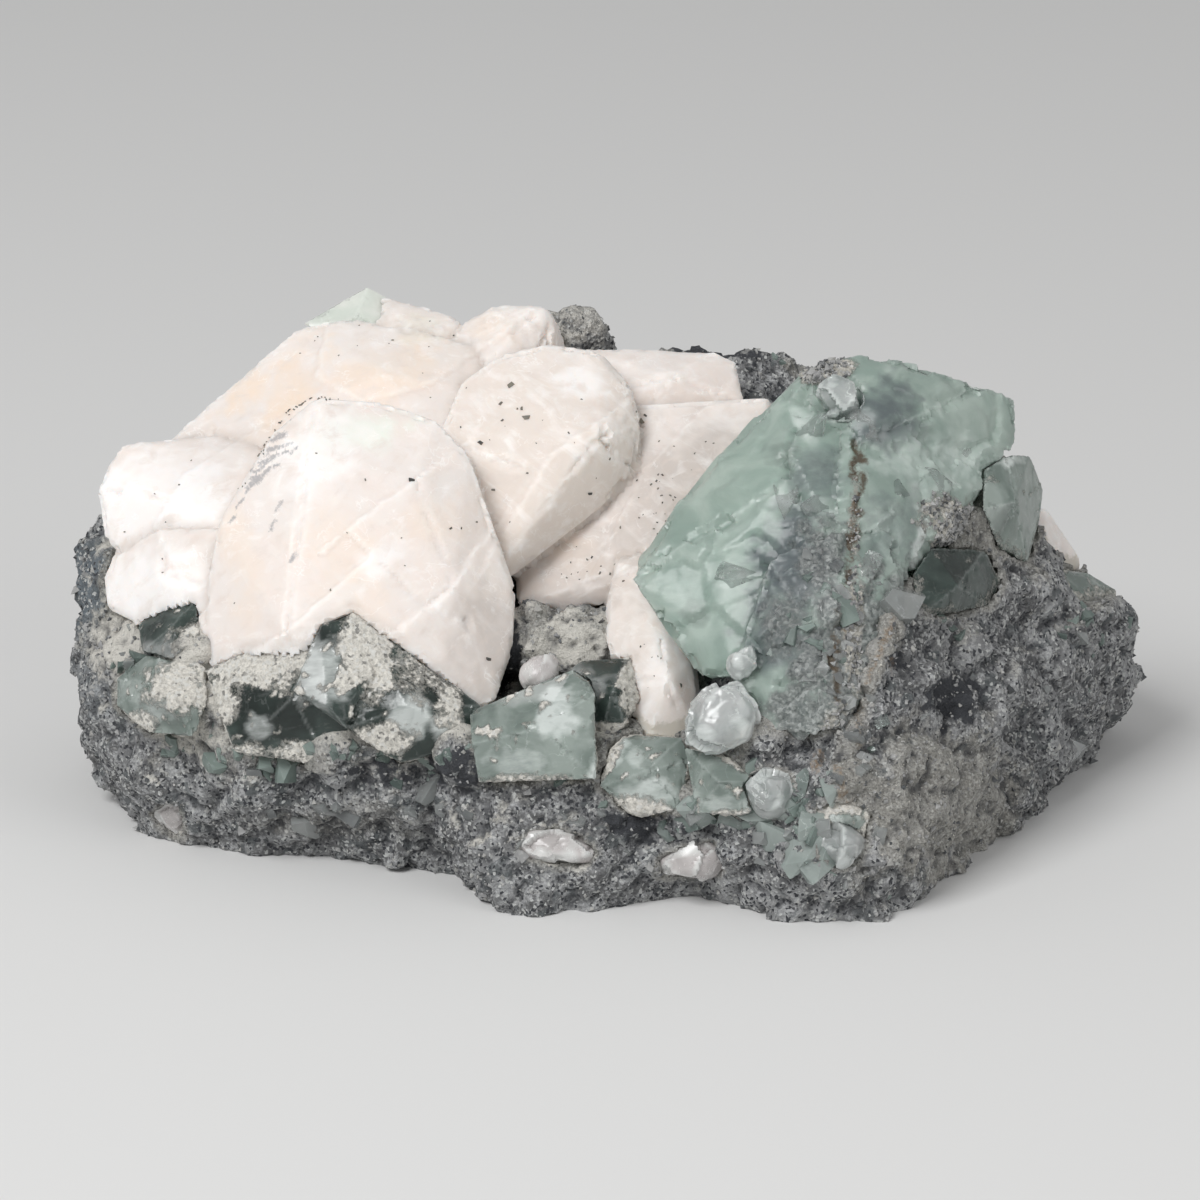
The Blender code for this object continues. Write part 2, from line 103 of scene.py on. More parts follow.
CALCITE_NODES = ("calcite_crystals", "calcite_back_right")
PALE_FLUORITE_NODES = (
    "fluorite_summit", "fluorite_left_corner", "fluorite_front_centre", "fluorite_front_right",
    "fluorite_low_right", "fluorite_low_corner", "fluorite_right_shoulder", "fluorite_far_right",
)
DARK_FLUORITE_NODES = ("fluorite_left_dark", "fluorite_front_left", "fluorite_centre_back", "fluorite_dark_right")
QUARTZ_NODES = ("quartz_large", "quartz_small", "quartz_high", "quartz_crest", "quartz_low")
PEBBLE_NODES = ("calcite_pebble", "calcite_low_left", "calcite_low_centre", "calcite_low_right")

# A mark is a soft patch in the front view: its middle (across, up), its half sizes, its turn in degrees
# and its strength. Everything is in millimetres.
Patch = namedtuple("Patch", "across up wide high turn strength", defaults=[0, 1.0])
# What a solid is grown from: a search tree of its faces, the number of each face's crystal and of its flat
# side, and search trees of its sharp rims and of the seams between its crystals.
Growth = namedtuple("Growth", "tree crystals flats rims seams")

CALCITE_MARKS = {
    "peach": [
        Patch(-42, 68, 10, 4.5, 42, 1.0), Patch(-28, 71, 9, 5, 20, 0.6), Patch(-33.5, 46.5, 5, 8, 20, 0.45),
        Patch(-47, 45, 3, 9, 12, 0.4), Patch(-12, 76, 6, 3, 0, 0.4), Patch(-5, 48, 6, 3, -30, 0.6),
        Patch(-22, 51, 6, 3, 20, 0.35),
    ],
    "beige": [
        Patch(-8, 60, 20, 20, 20, 0.85), Patch(-20, 73, 8, 3, -10, 0.5), Patch(6, 43, 9, 4, 0, 0.5),
        Patch(10, 56, 10, 9, 0, 0.5), Patch(7, 32, 6, 12, 0, 0.3), Patch(-15, 45, 4, 10, 0, 0.3),
        Patch(-38, 66, 13, 7, 40, 0.5), Patch(-24, 72, 10, 5, 0, 0.3),
    ],
    "green": [Patch(-31, 62.5, 7, 2.6, 5, 0.8), Patch(-24, 76, 4, 2, 0, 0.25)],
    # Painted shade: darker where the crystals lie in shadow, as under the middle crystal and on the front crystal's
    # lower right facet.
    "shade": [
        Patch(-14, 35, 6, 9, 25, 0.9), Patch(10, 53, 14, 12, 30, 1.0), Patch(-3, 44, 9, 5, 0, 0.8),
        Patch(5, 31, 4, 10, 0, 0.3), Patch(-20, 29, 7, 5, 0, 0.4), Patch(-47, 62, 12, 2.4, 10, 0.25),
        Patch(2, 55, 3, 7, -40, 0.3),
    ],
    "white": [
        Patch(-2.7, 69, 3.5, 2.2, 0, 0.8), Patch(-28, 46, 4, 2, 30, 0.7), Patch(-57, 52, 12, 9, 0, 0.9),
        Patch(-57, 42, 9, 5, 0, 0.9), Patch(-37, 60, 7, 6, 30, 0.7), Patch(9, 34, 3, 8, -15, 0.5),
        Patch(-10, 78, 4, 2, 0, 0.5),
    ],
}
# Where the rims of the white crystals are jagged, and where their faces are rough.
JAGGED_RIMS = [Patch(4.5, 62, 4, 9, -25, 1.0), Patch(-3, 76, 9, 4, 0, 0.8), Patch(-64, 53, 3, 8, 0, 0.6)]
ROUGH_FACES = [Patch(-10, 76, 17, 5, 0, 1.0), Patch(2, 64, 4, 6, -30, 0.8), Patch(-60, 46, 7, 6, 0, 0.6)]
# Thin grey strokes of dust on the upper left edge of the front crystal, and the line of dark specks on its rim.
STREAK_WIDTH = 0.22
CALCITE_STREAKS = [
    [(-46.1, 54.8), (-44.3, 56.2)], [(-45.8, 55.6), (-42.9, 57.6)], [(-45.4, 56.6), (-41.6, 58.4)],
    [(-45.1, 57.5), (-42.2, 59.2)], [(-44.6, 58.5), (-40.6, 60.0)], [(-43.9, 59.4), (-41.2, 60.9)],
    [(-43.5, 60.2), (-40.0, 61.3)], [(-43.0, 61.3), (-41.0, 62.2)], [(-40.4, 59.3), (-39.4, 60.2)],
    [(-47.4, 52.6), (-46.6, 54.0)], [(-48.2, 50.6), (-47.7, 51.6)], [(-42.2, 52.4), (-41.4, 53.6)],
    [(-42.9, 49.9), (-42.2, 51.2)], [(-40.2, 45.9), (-39.6, 46.6)], [(-42.4, 62.8), (-41.2, 63.6)],
    [(-41.6, 64.0), (-40.2, 64.4)],
]
SPECKLED_RIM = [(-46.9, 54.6), (-43.8, 60.4), (-40.6, 65.3), (-37, 66.9), (-33.5, 66.9)]
# A ledge is a growth step: its line, how far the surface drops to its right and how far that fades out.
Ledge = namedtuple("Ledge", "drop fade line")
CALCITE_LEDGES = [
    Ledge(0.38, 9, [(-24, 56.5), (-33, 49.8), (-29.5, 46.7), (-41, 36.4), (-47, 33.2)]),
    Ledge(0.34, 7, [(-14.5, 49.2), (-19, 42.5), (-26.7, 36.4), (-33, 31.5)]),
    Ledge(0.3, 5, [(0.5, 64.5), (-6, 60), (-11, 52), (-14, 47)]),
    Ledge(0.3, 6, [(-35, 77), (-37, 70), (-31, 66.5), (-22, 69), (-12, 76)]),
    Ledge(0.3, 6, [(14, 66), (6, 58), (2, 50)]),
    Ledge(0.25, 7, [(-46, 62), (-54, 57), (-58, 50), (-56, 46)]),
]

MASS_MARKS = {
    "cloud": [
        Patch(41.7, 58.2, 9, 4.6, -12, 0.4), Patch(31.1, 66.7, 2.4, 3.2, -20, 0.8), Patch(26.8, 63, 1.4, 3.4, 25, 0.6),
        Patch(33.7, 64.5, 2.6, 1.6, 0, 0.5), Patch(23.9, 53.7, 2.6, 1.1, 10, 0.6), Patch(29.3, 53, 3, 1.3, -15, 0.5),
        Patch(17.4, 43.4, 3.6, 1.1, 12, 0.5), Patch(31, 41, 5, 4, 0, 0.4), Patch(47.6, 59.5, 3, 3, -10, 0.45),
        Patch(41.6, 47.4, 0.9, 5, -12, 0.9), Patch(43.4, 52, 3, 0.8, -25, 0.6),
    ],
    "grey": [
        Patch(36.9, 64.3, 5, 5, 0, 0.75), Patch(25.2, 45.6, 6, 9, -20, 0.95), Patch(28.5, 57, 4.5, 4, 0, 0.6),
        Patch(38, 50, 5, 6, 0, 0.35), Patch(23, 35, 6, 4, 0, 0.7),
    ],
    "crust": [
        Patch(29.2, 71, 4.2, 2.0, 8, 1.0), Patch(46.9, 49.8, 5, 3.6, -35, 1.0), Patch(33, 36, 1.6, 9, 0, 0.7),
        Patch(36, 30, 2.4, 5, 0, 0.6), Patch(31, 22, 2.6, 6, 0, 0.6), Patch(41, 34, 3, 5, 0, 0.6),
        Patch(33, 52, 0.9, 7, 0, 0.55),
    ],
    "grit": [
        Patch(32.4, 34, 7.5, 10, 0, 1.0), Patch(29, 24, 8, 7, 0, 1.0), Patch(40, 38, 5, 8, 0, 0.9),
        Patch(29, 47, 3.4, 6, 0, 0.8), Patch(24, 38, 3, 5, 0, 0.6),
    ],
    "deep": [
        Patch(30, 70.5, 4, 2, 0, 0.4), Patch(12, 39, 2.5, 2, 30, 0.5), Patch(24, 59.5, 3, 2, 0, 0.5),
        Patch(31, 30, 1.4, 3.4, 0, 1.0),
    ],
}
MASS_VEIN = [(33.0, 60.6), (33.8, 55), (33, 51), (32.4, 46), (31.4, 40), (31.1, 34), (30.6, 28)]

BLOCK_MARKS = {
    "cloud": [
        Patch(-36, 31, 4.6, 5, 20, 0.7), Patch(-24.6, 25.7, 2.8, 3.6, -10, 1.0), Patch(-5.1, 25.9, 3.4, 3.4, 0, 1.0),
        Patch(-20, 24, 2.6, 2.6, 0, 0.8), Patch(-10.5, 19.5, 5, 2.2, -10, 0.5), Patch(1.2, 20.5, 1.6, 5, -35, 1.0),
        Patch(-58.5, 27, 3.5, 2.4, -20, 0.4), Patch(-44.5, 24.5, 2.0, 2.0, 0, 0.6), Patch(7, 15.5, 5, 2.2, 0, 0.7),
        Patch(16, 14.2, 3.4, 1.6, 0, 0.6), Patch(29.5, 13, 3.6, 2.6, 15, 0.7), Patch(53, 59, 3, 1.2, 0, 0.8),
        Patch(-52.3, 30.5, 1.0, 2.6, 0, 0.6), Patch(4.5, 20.2, 1.2, 1.8, 0, 0.5),
    ],
    "crust": [
        Patch(-55.4, 29.4, 4.2, 3.0, -18, 1.0), Patch(-44, 33.2, 8, 2.6, 28, 0.95), Patch(-30, 34, 3.4, 5.6, 8, 1.0),
        Patch(-49.8, 27.5, 2.4, 4.4, 0, 0.9), Patch(-19.4, 26.8, 2.2, 2.8, 0, 0.8), Patch(4.2, 29.5, 1.6, 4, 0, 1.0),
        Patch(-28, 22.6, 4, 2.2, 0, 0.8), Patch(-39, 20.6, 6, 1.8, 0, 0.7), Patch(4, 13.5, 7, 1.8, 0, 0.9),
        Patch(-10, 17, 8, 1.2, 0, 0.6), Patch(-60.5, 24.5, 3.4, 1.8, 0, 0.7), Patch(-46, 20.5, 5, 1.5, 0, 0.6),
        Patch(26, 10.5, 2.4, 2.4, 0, 0.8), Patch(17, 12.4, 3.6, 1.2, 0, 0.8), Patch(52, 46, 2.4, 3.2, 0, 0.5),
        Patch(62, 39.5, 3.4, 1.4, 0, 0.6),
    ],
    "deep": [
        Patch(-42, 25.5, 6, 4, 0, 0.8), Patch(-22, 31, 3.4, 4.6, 40, 0.9), Patch(-36, 36, 2, 3, 40, 0.7),
        Patch(-57, 25.6, 3.4, 1.8, -30, 0.5), Patch(52.6, 50, 2, 4, 10, 0.35),
    ],
}
# How dusty each block is where it leaves the rock; those that aren't named are wholly dusty.
DUSTY = {
    "fluorite_summit": 0.0, "fluorite_dark_right": 0.3, "fluorite_right_shoulder": 0.3, "fluorite_far_right": 0.5,
}
# Granular mounds of the rock that fill the hollows between the crystals: (across, up, depth) and radius.
# Those without a depth lie where the front view meets the solids.
MOUNDS = [
    ((-53.2, 33.6, -15), 4.2), ((-50.5, 27, -19), 3.6), ((-8, 35.2, -14), 5.0), ((-3, 35.0, -15), 5.0),
    ((2, 35.5, -14), 4.2), ((50.5, 54, 0), 3.4), ((-34, 21, -27), 4.0), ((-17.5, 20, -32), 4.0),
    ((-60, 33, -8), 5.0), ((22, 23, -36), 4.0), ((11.4, 13.8, -37), 3.0), ((55.5, 42, 0), 4.0),
    ((49.8, 57.6, None), 2.4), ((40.6, 43.6, None), 1.7), ((39.2, 40.4, None), 1.9), ((37.8, 37, None), 1.7),
    ((36.5, 33.6, None), 1.9), ((35.2, 30.2, None), 1.7), ((33.8, 26.6, None), 1.9), ((32.6, 23, None), 1.8),
]
# These marks fill the flat face that the front view shows at their middle, and no other.
FACE_MARKS = {
    "face_crust": [
        Patch(-55.4, 29.4, 5, 4, 0, 1.0), Patch(-44.5, 33, 12, 6, 0, 0.85), Patch(-31.5, 33, 3, 9, 0, 1.0),
        Patch(3, 29.5, 3, 6, 0, 1.0), Patch(-24, 33, 4, 6, 0, 0.5),
    ],
    "face_cloud": [Patch(-36, 31, 6, 8, 0, 0.5), Patch(-60.5, 29, 4, 5, 0, 0.3)],
    "face_deep": [
        Patch(-20, 29, 8, 8, 0, 0.6), Patch(-1.4, 30, 3, 6, 0, 0.6), Patch(-43, 26, 9, 6, 0, 0.7),
        Patch(46.3, 43.3, 8, 7, 0, 0.6),
    ],
    "face_pale": [
        Patch(-36, 31, 6, 9, 0, 0.8), Patch(-8, 29.6, 10, 3, 0, 0.7), Patch(-57, 33, 6, 3, 0, 0.6),
        Patch(52.5, 53, 6, 9, 0, 0.3), Patch(-58, 28.5, 6, 5, 0, 0.45),
    ],
}
ROCK_MARKS = {
    "dust": [
        Patch(-47, 29, 5, 3.5, 30, 0.9), Patch(-62, 35, 5, 5, 0, 0.8), Patch(-53, 23, 6, 3, -20, 0.6),
        Patch(-33, 24, 5, 3, 0, 0.6), Patch(-5, 35, 7, 3.4, 0, 0.9), Patch(-28, 19, 8, 2, 0, 0.3),
        Patch(-3, 77.5, 6, 4, 0, 0.5), Patch(-52, 33, 3.5, 3, 0, 0.9),
    ],
    "sand": [
        Patch(44, 14, 11, 11, 20, 1.0), Patch(-5, 36, 7, 5, 0, 1.0), Patch(-46, 22, 12, 5, 0, 0.45),
        Patch(33, 14, 3.5, 12, 0, 0.7), Patch(47, 50, 6, 5, -30, 0.9), Patch(-62, 36, 5, 6, 0, 0.7),
        Patch(29, 71, 5, 3, 0, 1.0), Patch(-34, 12, 14, 3, 0, 0.35), Patch(36.8, 34.7, 11, 2, 69, 1.0),
    ],
    "blue": [Patch(-66, 43, 7, 9, 20, 1.0), Patch(-66, 30, 6, 6, 0, 0.5), Patch(16, 10, 10, 5, 0, 0.3)],
    "deep": [
        Patch(46, 27.6, 3.4, 3.6, -35, 1.0), Patch(30.8, 29, 1.6, 3.6, 0, 1.0), Patch(-12, 33.5, 1.6, 6, -12, 1.0),
        Patch(38.5, 33, 1.3, 1.1, -20, 0.8), Patch(6, 11, 6, 2.4, -10, 0.6), Patch(-16, 19, 7, 3, 0, 0.7),
        Patch(59, 17, 7, 3, 30, 0.2), Patch(-28, 18.6, 6, 2, 0, 0.5), Patch(15, 75, 7, 4, 0, 0.9),
    ],
    "rust": [
        Patch(28.6, 27, 1.2, 4, 5, 0.6), Patch(28.2, 20, 1.2, 2.6, 0, 0.6), Patch(31.6, 16, 0.9, 3.4, 15, 0.6),
        Patch(33.6, 24, 0.7, 6, 0, 0.5), Patch(32, 9, 0.9, 2, 0, 0.5), Patch(37.8, 32, 0.7, 3, 0, 0.5),
        Patch(36.4, 34, 7, 0.8, 69, 0.7),
    ],
}

# The larger dark flakes on the calcite, where the front view shows them, and how large they are.
FLAKES = [
    (-24.4, 56.3, 0.44), (-35, 42, 0.22), (-14.5, 33, 0.32), (-11.7, 68.6, 0.5), (-12.9, 66.3, 0.3),
    (-9.6, 64.5, 0.62), (-10.2, 65.6, 0.26), (-15.6, 61.2, 0.36), (-13.9, 55, 0.26), (-19, 75.1, 0.22),
    (-1.3, 54.5, 0.28), (5.4, 63.9, 0.4), (5.9, 64.7, 0.25), (4.7, 65.2, 0.2), (-19.4, 50, 0.2), (6.6, 55.7, 0.2),
    (-54.7, 55.7, 0.18), (10.5, 29.6, 0.36), (0, 44.2, 0.2), (-27, 74.5, 0.2),
]
# Where small dark specks lie close together: a patch and how many of them.
SPECK_FIELDS = [
    (Patch(8, 53, 4, 6), 30), (Patch(-2, 44.5, 5, 2.5), 14), (Patch(-9, 62, 12, 9), 14),
    (Patch(-33, 48, 18, 17), 10), (Patch(-30, 73, 14, 4), 10), (Patch(12, 60, 9, 6), 12),
    (Patch(-56, 50, 8, 9), 6), (Patch(7, 33, 4, 9), 8),
]
# Where larger broken crystals sit in the rock and on the crusted ridge: a patch and how many of them.
FRAGMENT_FIELDS = {
    "fragments_green": [
        (Patch(-44, 20.5, 16, 3), 34), (Patch(-20, 20, 12, 3), 26), (Patch(28, 12.5, 7, 5), 44),
        (Patch(29, 38, 5, 12), 16), (Patch(66, 38, 5, 6), 10), (Patch(44, 38, 6, 4), 8), (Patch(-61, 33, 4, 8), 10),
        (Patch(8, 14, 9, 3), 14),
    ],
    "fragments_clear": [
        (Patch(32, 35, 6, 13), 40), (Patch(14, 10, 14, 4), 24), (Patch(-28, 14, 26, 4), 24),
        (Patch(54, 28, 14, 10), 10), (Patch(-60, 36, 4, 6), 8),
        (Patch(30, 12, 5, 6), 16),
    ],
}
GREEN_BITS = [
    (20.6, 13, 5.4), (24, 12.6, 6.6), (27.6, 12.4, 6.8), (31.6, 12, 6), (22.4, 9.4, 5.4), (26, 8.6, 6), (29, 7, 5.4),
    (33.8, 9.2, 5), (17.6, 11.4, 4.2), (25.4, 15.8, 4.6), (30, 16, 4.2), (8.2, 11.2, 3.8), (12.6, 12.6, 4.4),
]
FRAGMENTS_AROUND = 26  # and how many more lie anywhere on the rock
FRAGMENT_SIZE = 1.3
FIELD_SIZE = 1.8
FRAGMENT_SUNK = 0.38  # how much of its size a fragment is sunk in
# Single bits of crystal: across, up and size. Clear ones on the large fluorite, green ones at its foot.
CLEAR_BITS = [
    (26.9, 63.2, 5.4), (33.9, 64.1, 5.2), (24.2, 53.7, 5.2), (29.4, 53, 5.4), (17.8, 43.3, 5.2), (47.0, 60.0, 5.0),
    (41.8, 47.6, 4.6), (34.4, 44.6, 5.0), (37.4, 42.2, 4.2), (39.6, 54.2, 4.8), (44.0, 56.4, 4.4), (36.0, 26.0, 3.4),
]


class RockSettings(PropertyGroup):
    """The rock that carries the crystals."""

    colour: FloatVectorProperty(
        name="Rock colour", description="The grey of most of the rock", default=(0.335, 0.34, 0.345),
        size=3, min=0, max=1, subtype="COLOR",
    )
    pale: FloatVectorProperty(
        name="Pale grains", description="The lightest grains of the rock", default=(0.52, 0.53, 0.52),
        size=3, min=0, max=1, subtype="COLOR",
    )
    # This colour also paints the shade in the rock's pits and hollows.
    dark: FloatVectorProperty(
        name="Dark grains", description="The darkest grains of the rock", default=(0.045, 0.048, 0.055),
        size=3, min=0, max=1, subtype="COLOR",
    )
    sand: FloatVectorProperty(
        name="Sand colour", description="The beige dust and sand on rock and crystals", default=(0.485, 0.468, 0.42),
        size=3, min=0, max=1, subtype="COLOR",
    )
    # This colour also paints the highlight on the upward faces of the left half.
    dust: FloatVectorProperty(
        name="Dust colour", description="The whitish dust on the left half", default=(0.64, 0.62, 0.57),
        size=3, min=0, max=1, subtype="COLOR",
    )
    grain: FloatProperty(
        name="Grain size", description="The width of a usual loose grain", default=0.36 * MM,
        min=0.1 * MM, max=3 * MM, unit="LENGTH",
    )
    grain_count: IntProperty(
        name="Grains", description="How many grains of each kind are strewn", default=11000, min=0, max=16000,
    )


class CalciteSettings(PropertyGroup):
    """The white crystals."""

    colour: FloatVectorProperty(
        name="Calcite colour", description="The creamy white of the crystals", default=(0.80, 0.752, 0.72),
        size=3, min=0, max=1, subtype="COLOR",
    )
    peach: FloatVectorProperty(
        name="Peach tint", description="The warm zones", default=(0.84, 0.705, 0.585),
        size=3, min=0, max=1, subtype="COLOR",
    )
    depth: FloatProperty(
        name="Light depth", description="How far light spreads under the surface", default=1.8 * MM,
        min=0, max=20 * MM, unit="LENGTH",
    )


class FluoriteSettings(PropertyGroup):
    """The green crystals, pale and dark."""

    pale: FloatVectorProperty(
        name="Pale green", description="The milky green of the large mass", default=(0.66, 0.775, 0.705),
        size=3, min=0, max=1, subtype="COLOR",
    )
    deep: FloatVectorProperty(
        name="Deep green", description="The green of thicker parts", default=(0.46, 0.58, 0.52),
        size=3, min=0, max=1, subtype="COLOR",
    )
    dark: FloatVectorProperty(
        name="Dark green", description="The grey-green of the dark crystals", default=(0.042, 0.058, 0.052),
        size=3, min=0, max=1, subtype="COLOR",
    )
    density: FloatProperty(
        name="Absorption", description="How strongly the green crystals absorb light", default=45.0, min=0, max=1000,
    )


class StageSettings(PropertyGroup):
    """The floor and the studio light."""

    floor: FloatVectorProperty(
        name="Floor colour", description="The pale floor", default=(0.72, 0.72, 0.715),
        size=3, min=0, max=1, subtype="COLOR",
    )
    key: FloatProperty(
        name="Key light", description="The large soft light from the upper left", default=11.9,
        min=0, max=200, unit="POWER",
    )
    fill: FloatProperty(
        name="Fill light", description="The weaker light from the right", default=3.5, min=0, max=200, unit="POWER",
    )
    sky: FloatProperty(
        name="Room light", description="The even light from all round", default=0.40, min=0, max=5,
    )


def at(across, up, depth):
    """The point that the front view shows this far across and up, at this depth behind the middle."""
    rise = up - VIEW_MIDDLE_UP
    sine, cosine = math.sin(VIEW_TILT), math.cos(VIEW_TILT)
    beyond = (depth - rise * sine) / (cosine + rise * sine / VIEW_DISTANCE)
    spread = 1 + beyond / VIEW_DISTANCE
    height = VIEW_MIDDLE_HEIGHT + rise * spread * cosine - beyond * sine
    return Vector((across * spread + VIEW_MIDDLE_SHIFT[0], depth + VIEW_MIDDLE_SHIFT[1], height)) * MM


def shown_at(tree, across, up):
    """What the front view shows at this place: its point, its direction and its face."""
    start = eye()
    return tree.ray_cast(start, (at(across, up, 0) - start).normalized())[:3]


def front(points):
    """How far across and up the front view shows each point, in millimetres."""
    away = points / MM - np.array(VIEW_AIM)
    spread = 1 + away @ np.array(VIEW_ALONG) / VIEW_DISTANCE
    return np.column_stack((away[:, 0] / spread, away @ np.array(VIEW_UP) / spread + VIEW_MIDDLE_UP))


def eye():
    """The place of the camera."""
    return (VIEW_AIM - VIEW_ALONG * VIEW_DISTANCE) * MM


def select_only(piece):
    bpy.ops.object.select_all(action="DESELECT")
    piece.select_set(True)
    bpy.context.view_layer.objects.active = piece


def copy_of(node, name):
    """A new object with a merged copy of a CAD node's mesh."""
    mesh = frame["nodes"][node].data.copy()
    mesh.name = name
    mesh.materials.clear()
    piece = bpy.data.objects.new(name, mesh)
    bpy.context.scene.collection.objects.link(piece)
    select_only(piece)
    bpy.ops.object.mode_set(mode="EDIT")
    bpy.ops.mesh.select_all(action="SELECT")
    bpy.ops.mesh.remove_doubles(threshold=MERGE_DISTANCE)
    bpy.ops.object.mode_set(mode="OBJECT")
    return piece


def apply_modifier(piece, kind, **settings):
    modifier = piece.modifiers.new(kind.lower(), kind)
    for name, value in settings.items():
        setattr(modifier, name, value)
    select_only(piece)
    bpy.ops.object.modifier_apply(modifier=modifier.name)


def numbered(shape, turns, least, most):
    """The same number for all faces that meet at edges with a turn between these."""
    numbers = [-1] * len(shape.faces)
    for first in shape.faces:
        if numbers[first.index] >= 0:
            continue
        numbers[first.index] = first.index
        waiting = [first]
        while waiting:
            for edge in waiting.pop().edges:
                for near in edge.link_faces:
                    if least < turns[edge.index] < most and numbers[near.index] < 0:
                        numbers[near.index] = first.index
                        waiting.append(near)
    return np.array(numbers)


def points_along(shape, turns, least, most):
    """A search tree of points along the edges with a turn between these."""
    spots = []
    for edge in shape.edges:
        if least < turns[edge.index] < most:
            start, end = (vertex.co for vertex in edge.verts)
            steps = max(1, round((end - start).length / (LINE_STEP * MM)))
            spots += [start.lerp(end, step / steps) for step in range(steps + 1)]
    tree = KDTree(len(spots))
    for number, spot in enumerate(spots):
        tree.insert(spot, number)
    tree.balance()
    return tree


def growth_of(piece):
    """What a solid is grown from."""
    shape = bmesh.new()
    shape.from_mesh(piece.data)
    shape.faces.ensure_lookup_table()
    turns = [edge.calc_face_angle_signed(0) for edge in shape.edges]
    growth = Growth(
        BVHTree.FromBMesh(shape), numbered(shape, turns, SEAM_TURN, math.pi),
        numbered(shape, turns, -FLAT_TURN, FLAT_TURN), points_along(shape, turns, RIM_TURN, math.pi),
        points_along(shape, turns, -math.pi, SEAM_TURN),
    )
    shape.free()
    return growth


def refine(piece, size, rounds, growth=None):
    """Gives a piece an even, fine mesh, on the flat faces of the solid if its growth is given.

    It gives back which face of the solid each point lies on.
    """
    apply_modifier(piece, "REMESH", mode="VOXEL", voxel_size=size * MM)
    apply_modifier(piece, "SMOOTH", factor=0.5, iterations=rounds)
    if growth is None:
        return None
    points = points_of(piece.data)
    found = [growth.tree.find_nearest(point) for point in points.tolist()]
    put_points(piece.data, np.array([spot for spot, _, _, _ in found]))
    return np.array([face for _, _, face, _ in found])


def gap_to(points, tree, reach):
    """How far each point is from the points in the tree, in millimetres and no more than the reach."""
    found = [tree.find(point)[2] for point in points.tolist()]
    return np.array([reach if gap is None else min(gap / MM, reach) for gap in found])


def finish_piece(piece, nodes, material, smooth_angle=None):
    """Gives a piece its material and shading, sets it on the body and hides the CAD nodes that it takes the place of.
    """
    piece.data.materials.append(material)
    select_only(piece)
    if smooth_angle is None:
        bpy.ops.object.shade_flat()
    else:
        bpy.ops.object.shade_smooth_by_angle(angle=math.radians(smooth_angle))
    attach(piece, BODY)
    if nodes:
        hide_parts(*nodes)


def points_of(mesh):
    values = np.empty(len(mesh.vertices) * 3, np.float32)
    mesh.vertices.foreach_get("co", values)
    return values.reshape(-1, 3).astype(float)


def normals_of(mesh):
    values = np.empty(len(mesh.vertices) * 3, np.float32)
    mesh.vertex_normals.foreach_get("vector", values)
    return values.reshape(-1, 3).astype(float)


def put_points(mesh, points):
    mesh.vertices.foreach_set("co", points.astype(np.float32).ravel())
    mesh.update()


def paint(mesh, name, values):
    """Keeps one number for each point of the mesh, for a material to read."""
    attribute = mesh.attributes.get(name) or mesh.attributes.new(name, "FLOAT", "POINT")
    attribute.data.foreach_set("value", np.clip(values, 0, 1).astype(np.float32))


def ease(values, low, high):
    """0 at low, 1 at high and smooth between them."""
    share = np.clip((values - low) / (high - low), 0, 1)
    return share * share * (3 - 2 * share)


def noise_at(points, size, seed=0):
    """Smooth noise at each point, about -1 to 1, with lumps of this size in millimetres."""
    places = points / (np.array(size) * MM) + seed * NOISE_STEP
    return np.array([noise.noise(place) for place in places.tolist()])


def chips_at(points, size, seed=0, warp=0.3):
    """Flat chips of this size: for each point its chip's random height and the random tilt there."""
    noise.seed_set(NOISE_SEED)
    heights, tilts = [], []
    for place in (points / (np.array(size) * MM) + seed * NOISE_STEP).tolist():
        place = Vector(place) + warp * noise.noise_vector(place)
        cell = noise.voronoi(place)[1][0]
        chance = noise.cell_vector(cell * CELL_SPREAD)
        heights.append(chance.x)
        tilts.append(sum((p - c) * (r - 0.5) for p, c, r in zip(place, cell, chance.zxy)))
    return np.array(heights) - 0.5, np.array(tilts)


def relaxed(mesh, points, rounds):
    """The points after each has moved to the mean of its neighbours, this many times."""
    ends = np.empty(len(mesh.edges) * 2, np.int32)
    mesh.edges.foreach_get("vertices", ends)
    first, second = ends.reshape(-1, 2).T
    total = len(points)
    count = np.maximum(np.bincount(first, minlength=total) + np.bincount(second, minlength=total), 1)
    for _ in range(rounds):
        points = np.column_stack([
            (np.bincount(first, points[second, axis], total) + np.bincount(second, points[first, axis], total)) / count
            for axis in range(points.shape[1])
        ])
    return points


def bulge(mesh, points, normals, rounds):
    """How far each point stands out of its softened surroundings, in millimetres."""
    return np.einsum("ij,ij->i", points - relaxed(mesh, points, rounds), normals) / MM


def strength_of(points, patches, ragged=0.45, growth=None, numbers=None, owners=None):
    """How much of the patches each point has, from 0 to 1, with ragged borders.

    With the numbers of a solid's crystals or faces, a patch stays on the one that it lies on.
    """
    view = front(points)
    wander = ragged * (noise_at(points, 3.4, 3) + 0.8 * noise_at(points, 1.3, 4))
    total = np.zeros(len(points))
    for patch in patches:
        angle = math.radians(patch.turn)
        right, high = view[:, 0] - patch.across, view[:, 1] - patch.up
        along = (right * math.cos(angle) + high * math.sin(angle)) / patch.wide
        over = (high * math.cos(angle) - right * math.sin(angle)) / patch.high
        share = patch.strength * ease(-np.hypot(along, over) - wander, -1.3, -0.4)
        if growth is not None:
            face = shown_at(growth.tree, patch.across, patch.up)[2]
            if face is not None:
                share = share * (numbers[owners] == numbers[face])
        total = np.maximum(total, share)
    return total


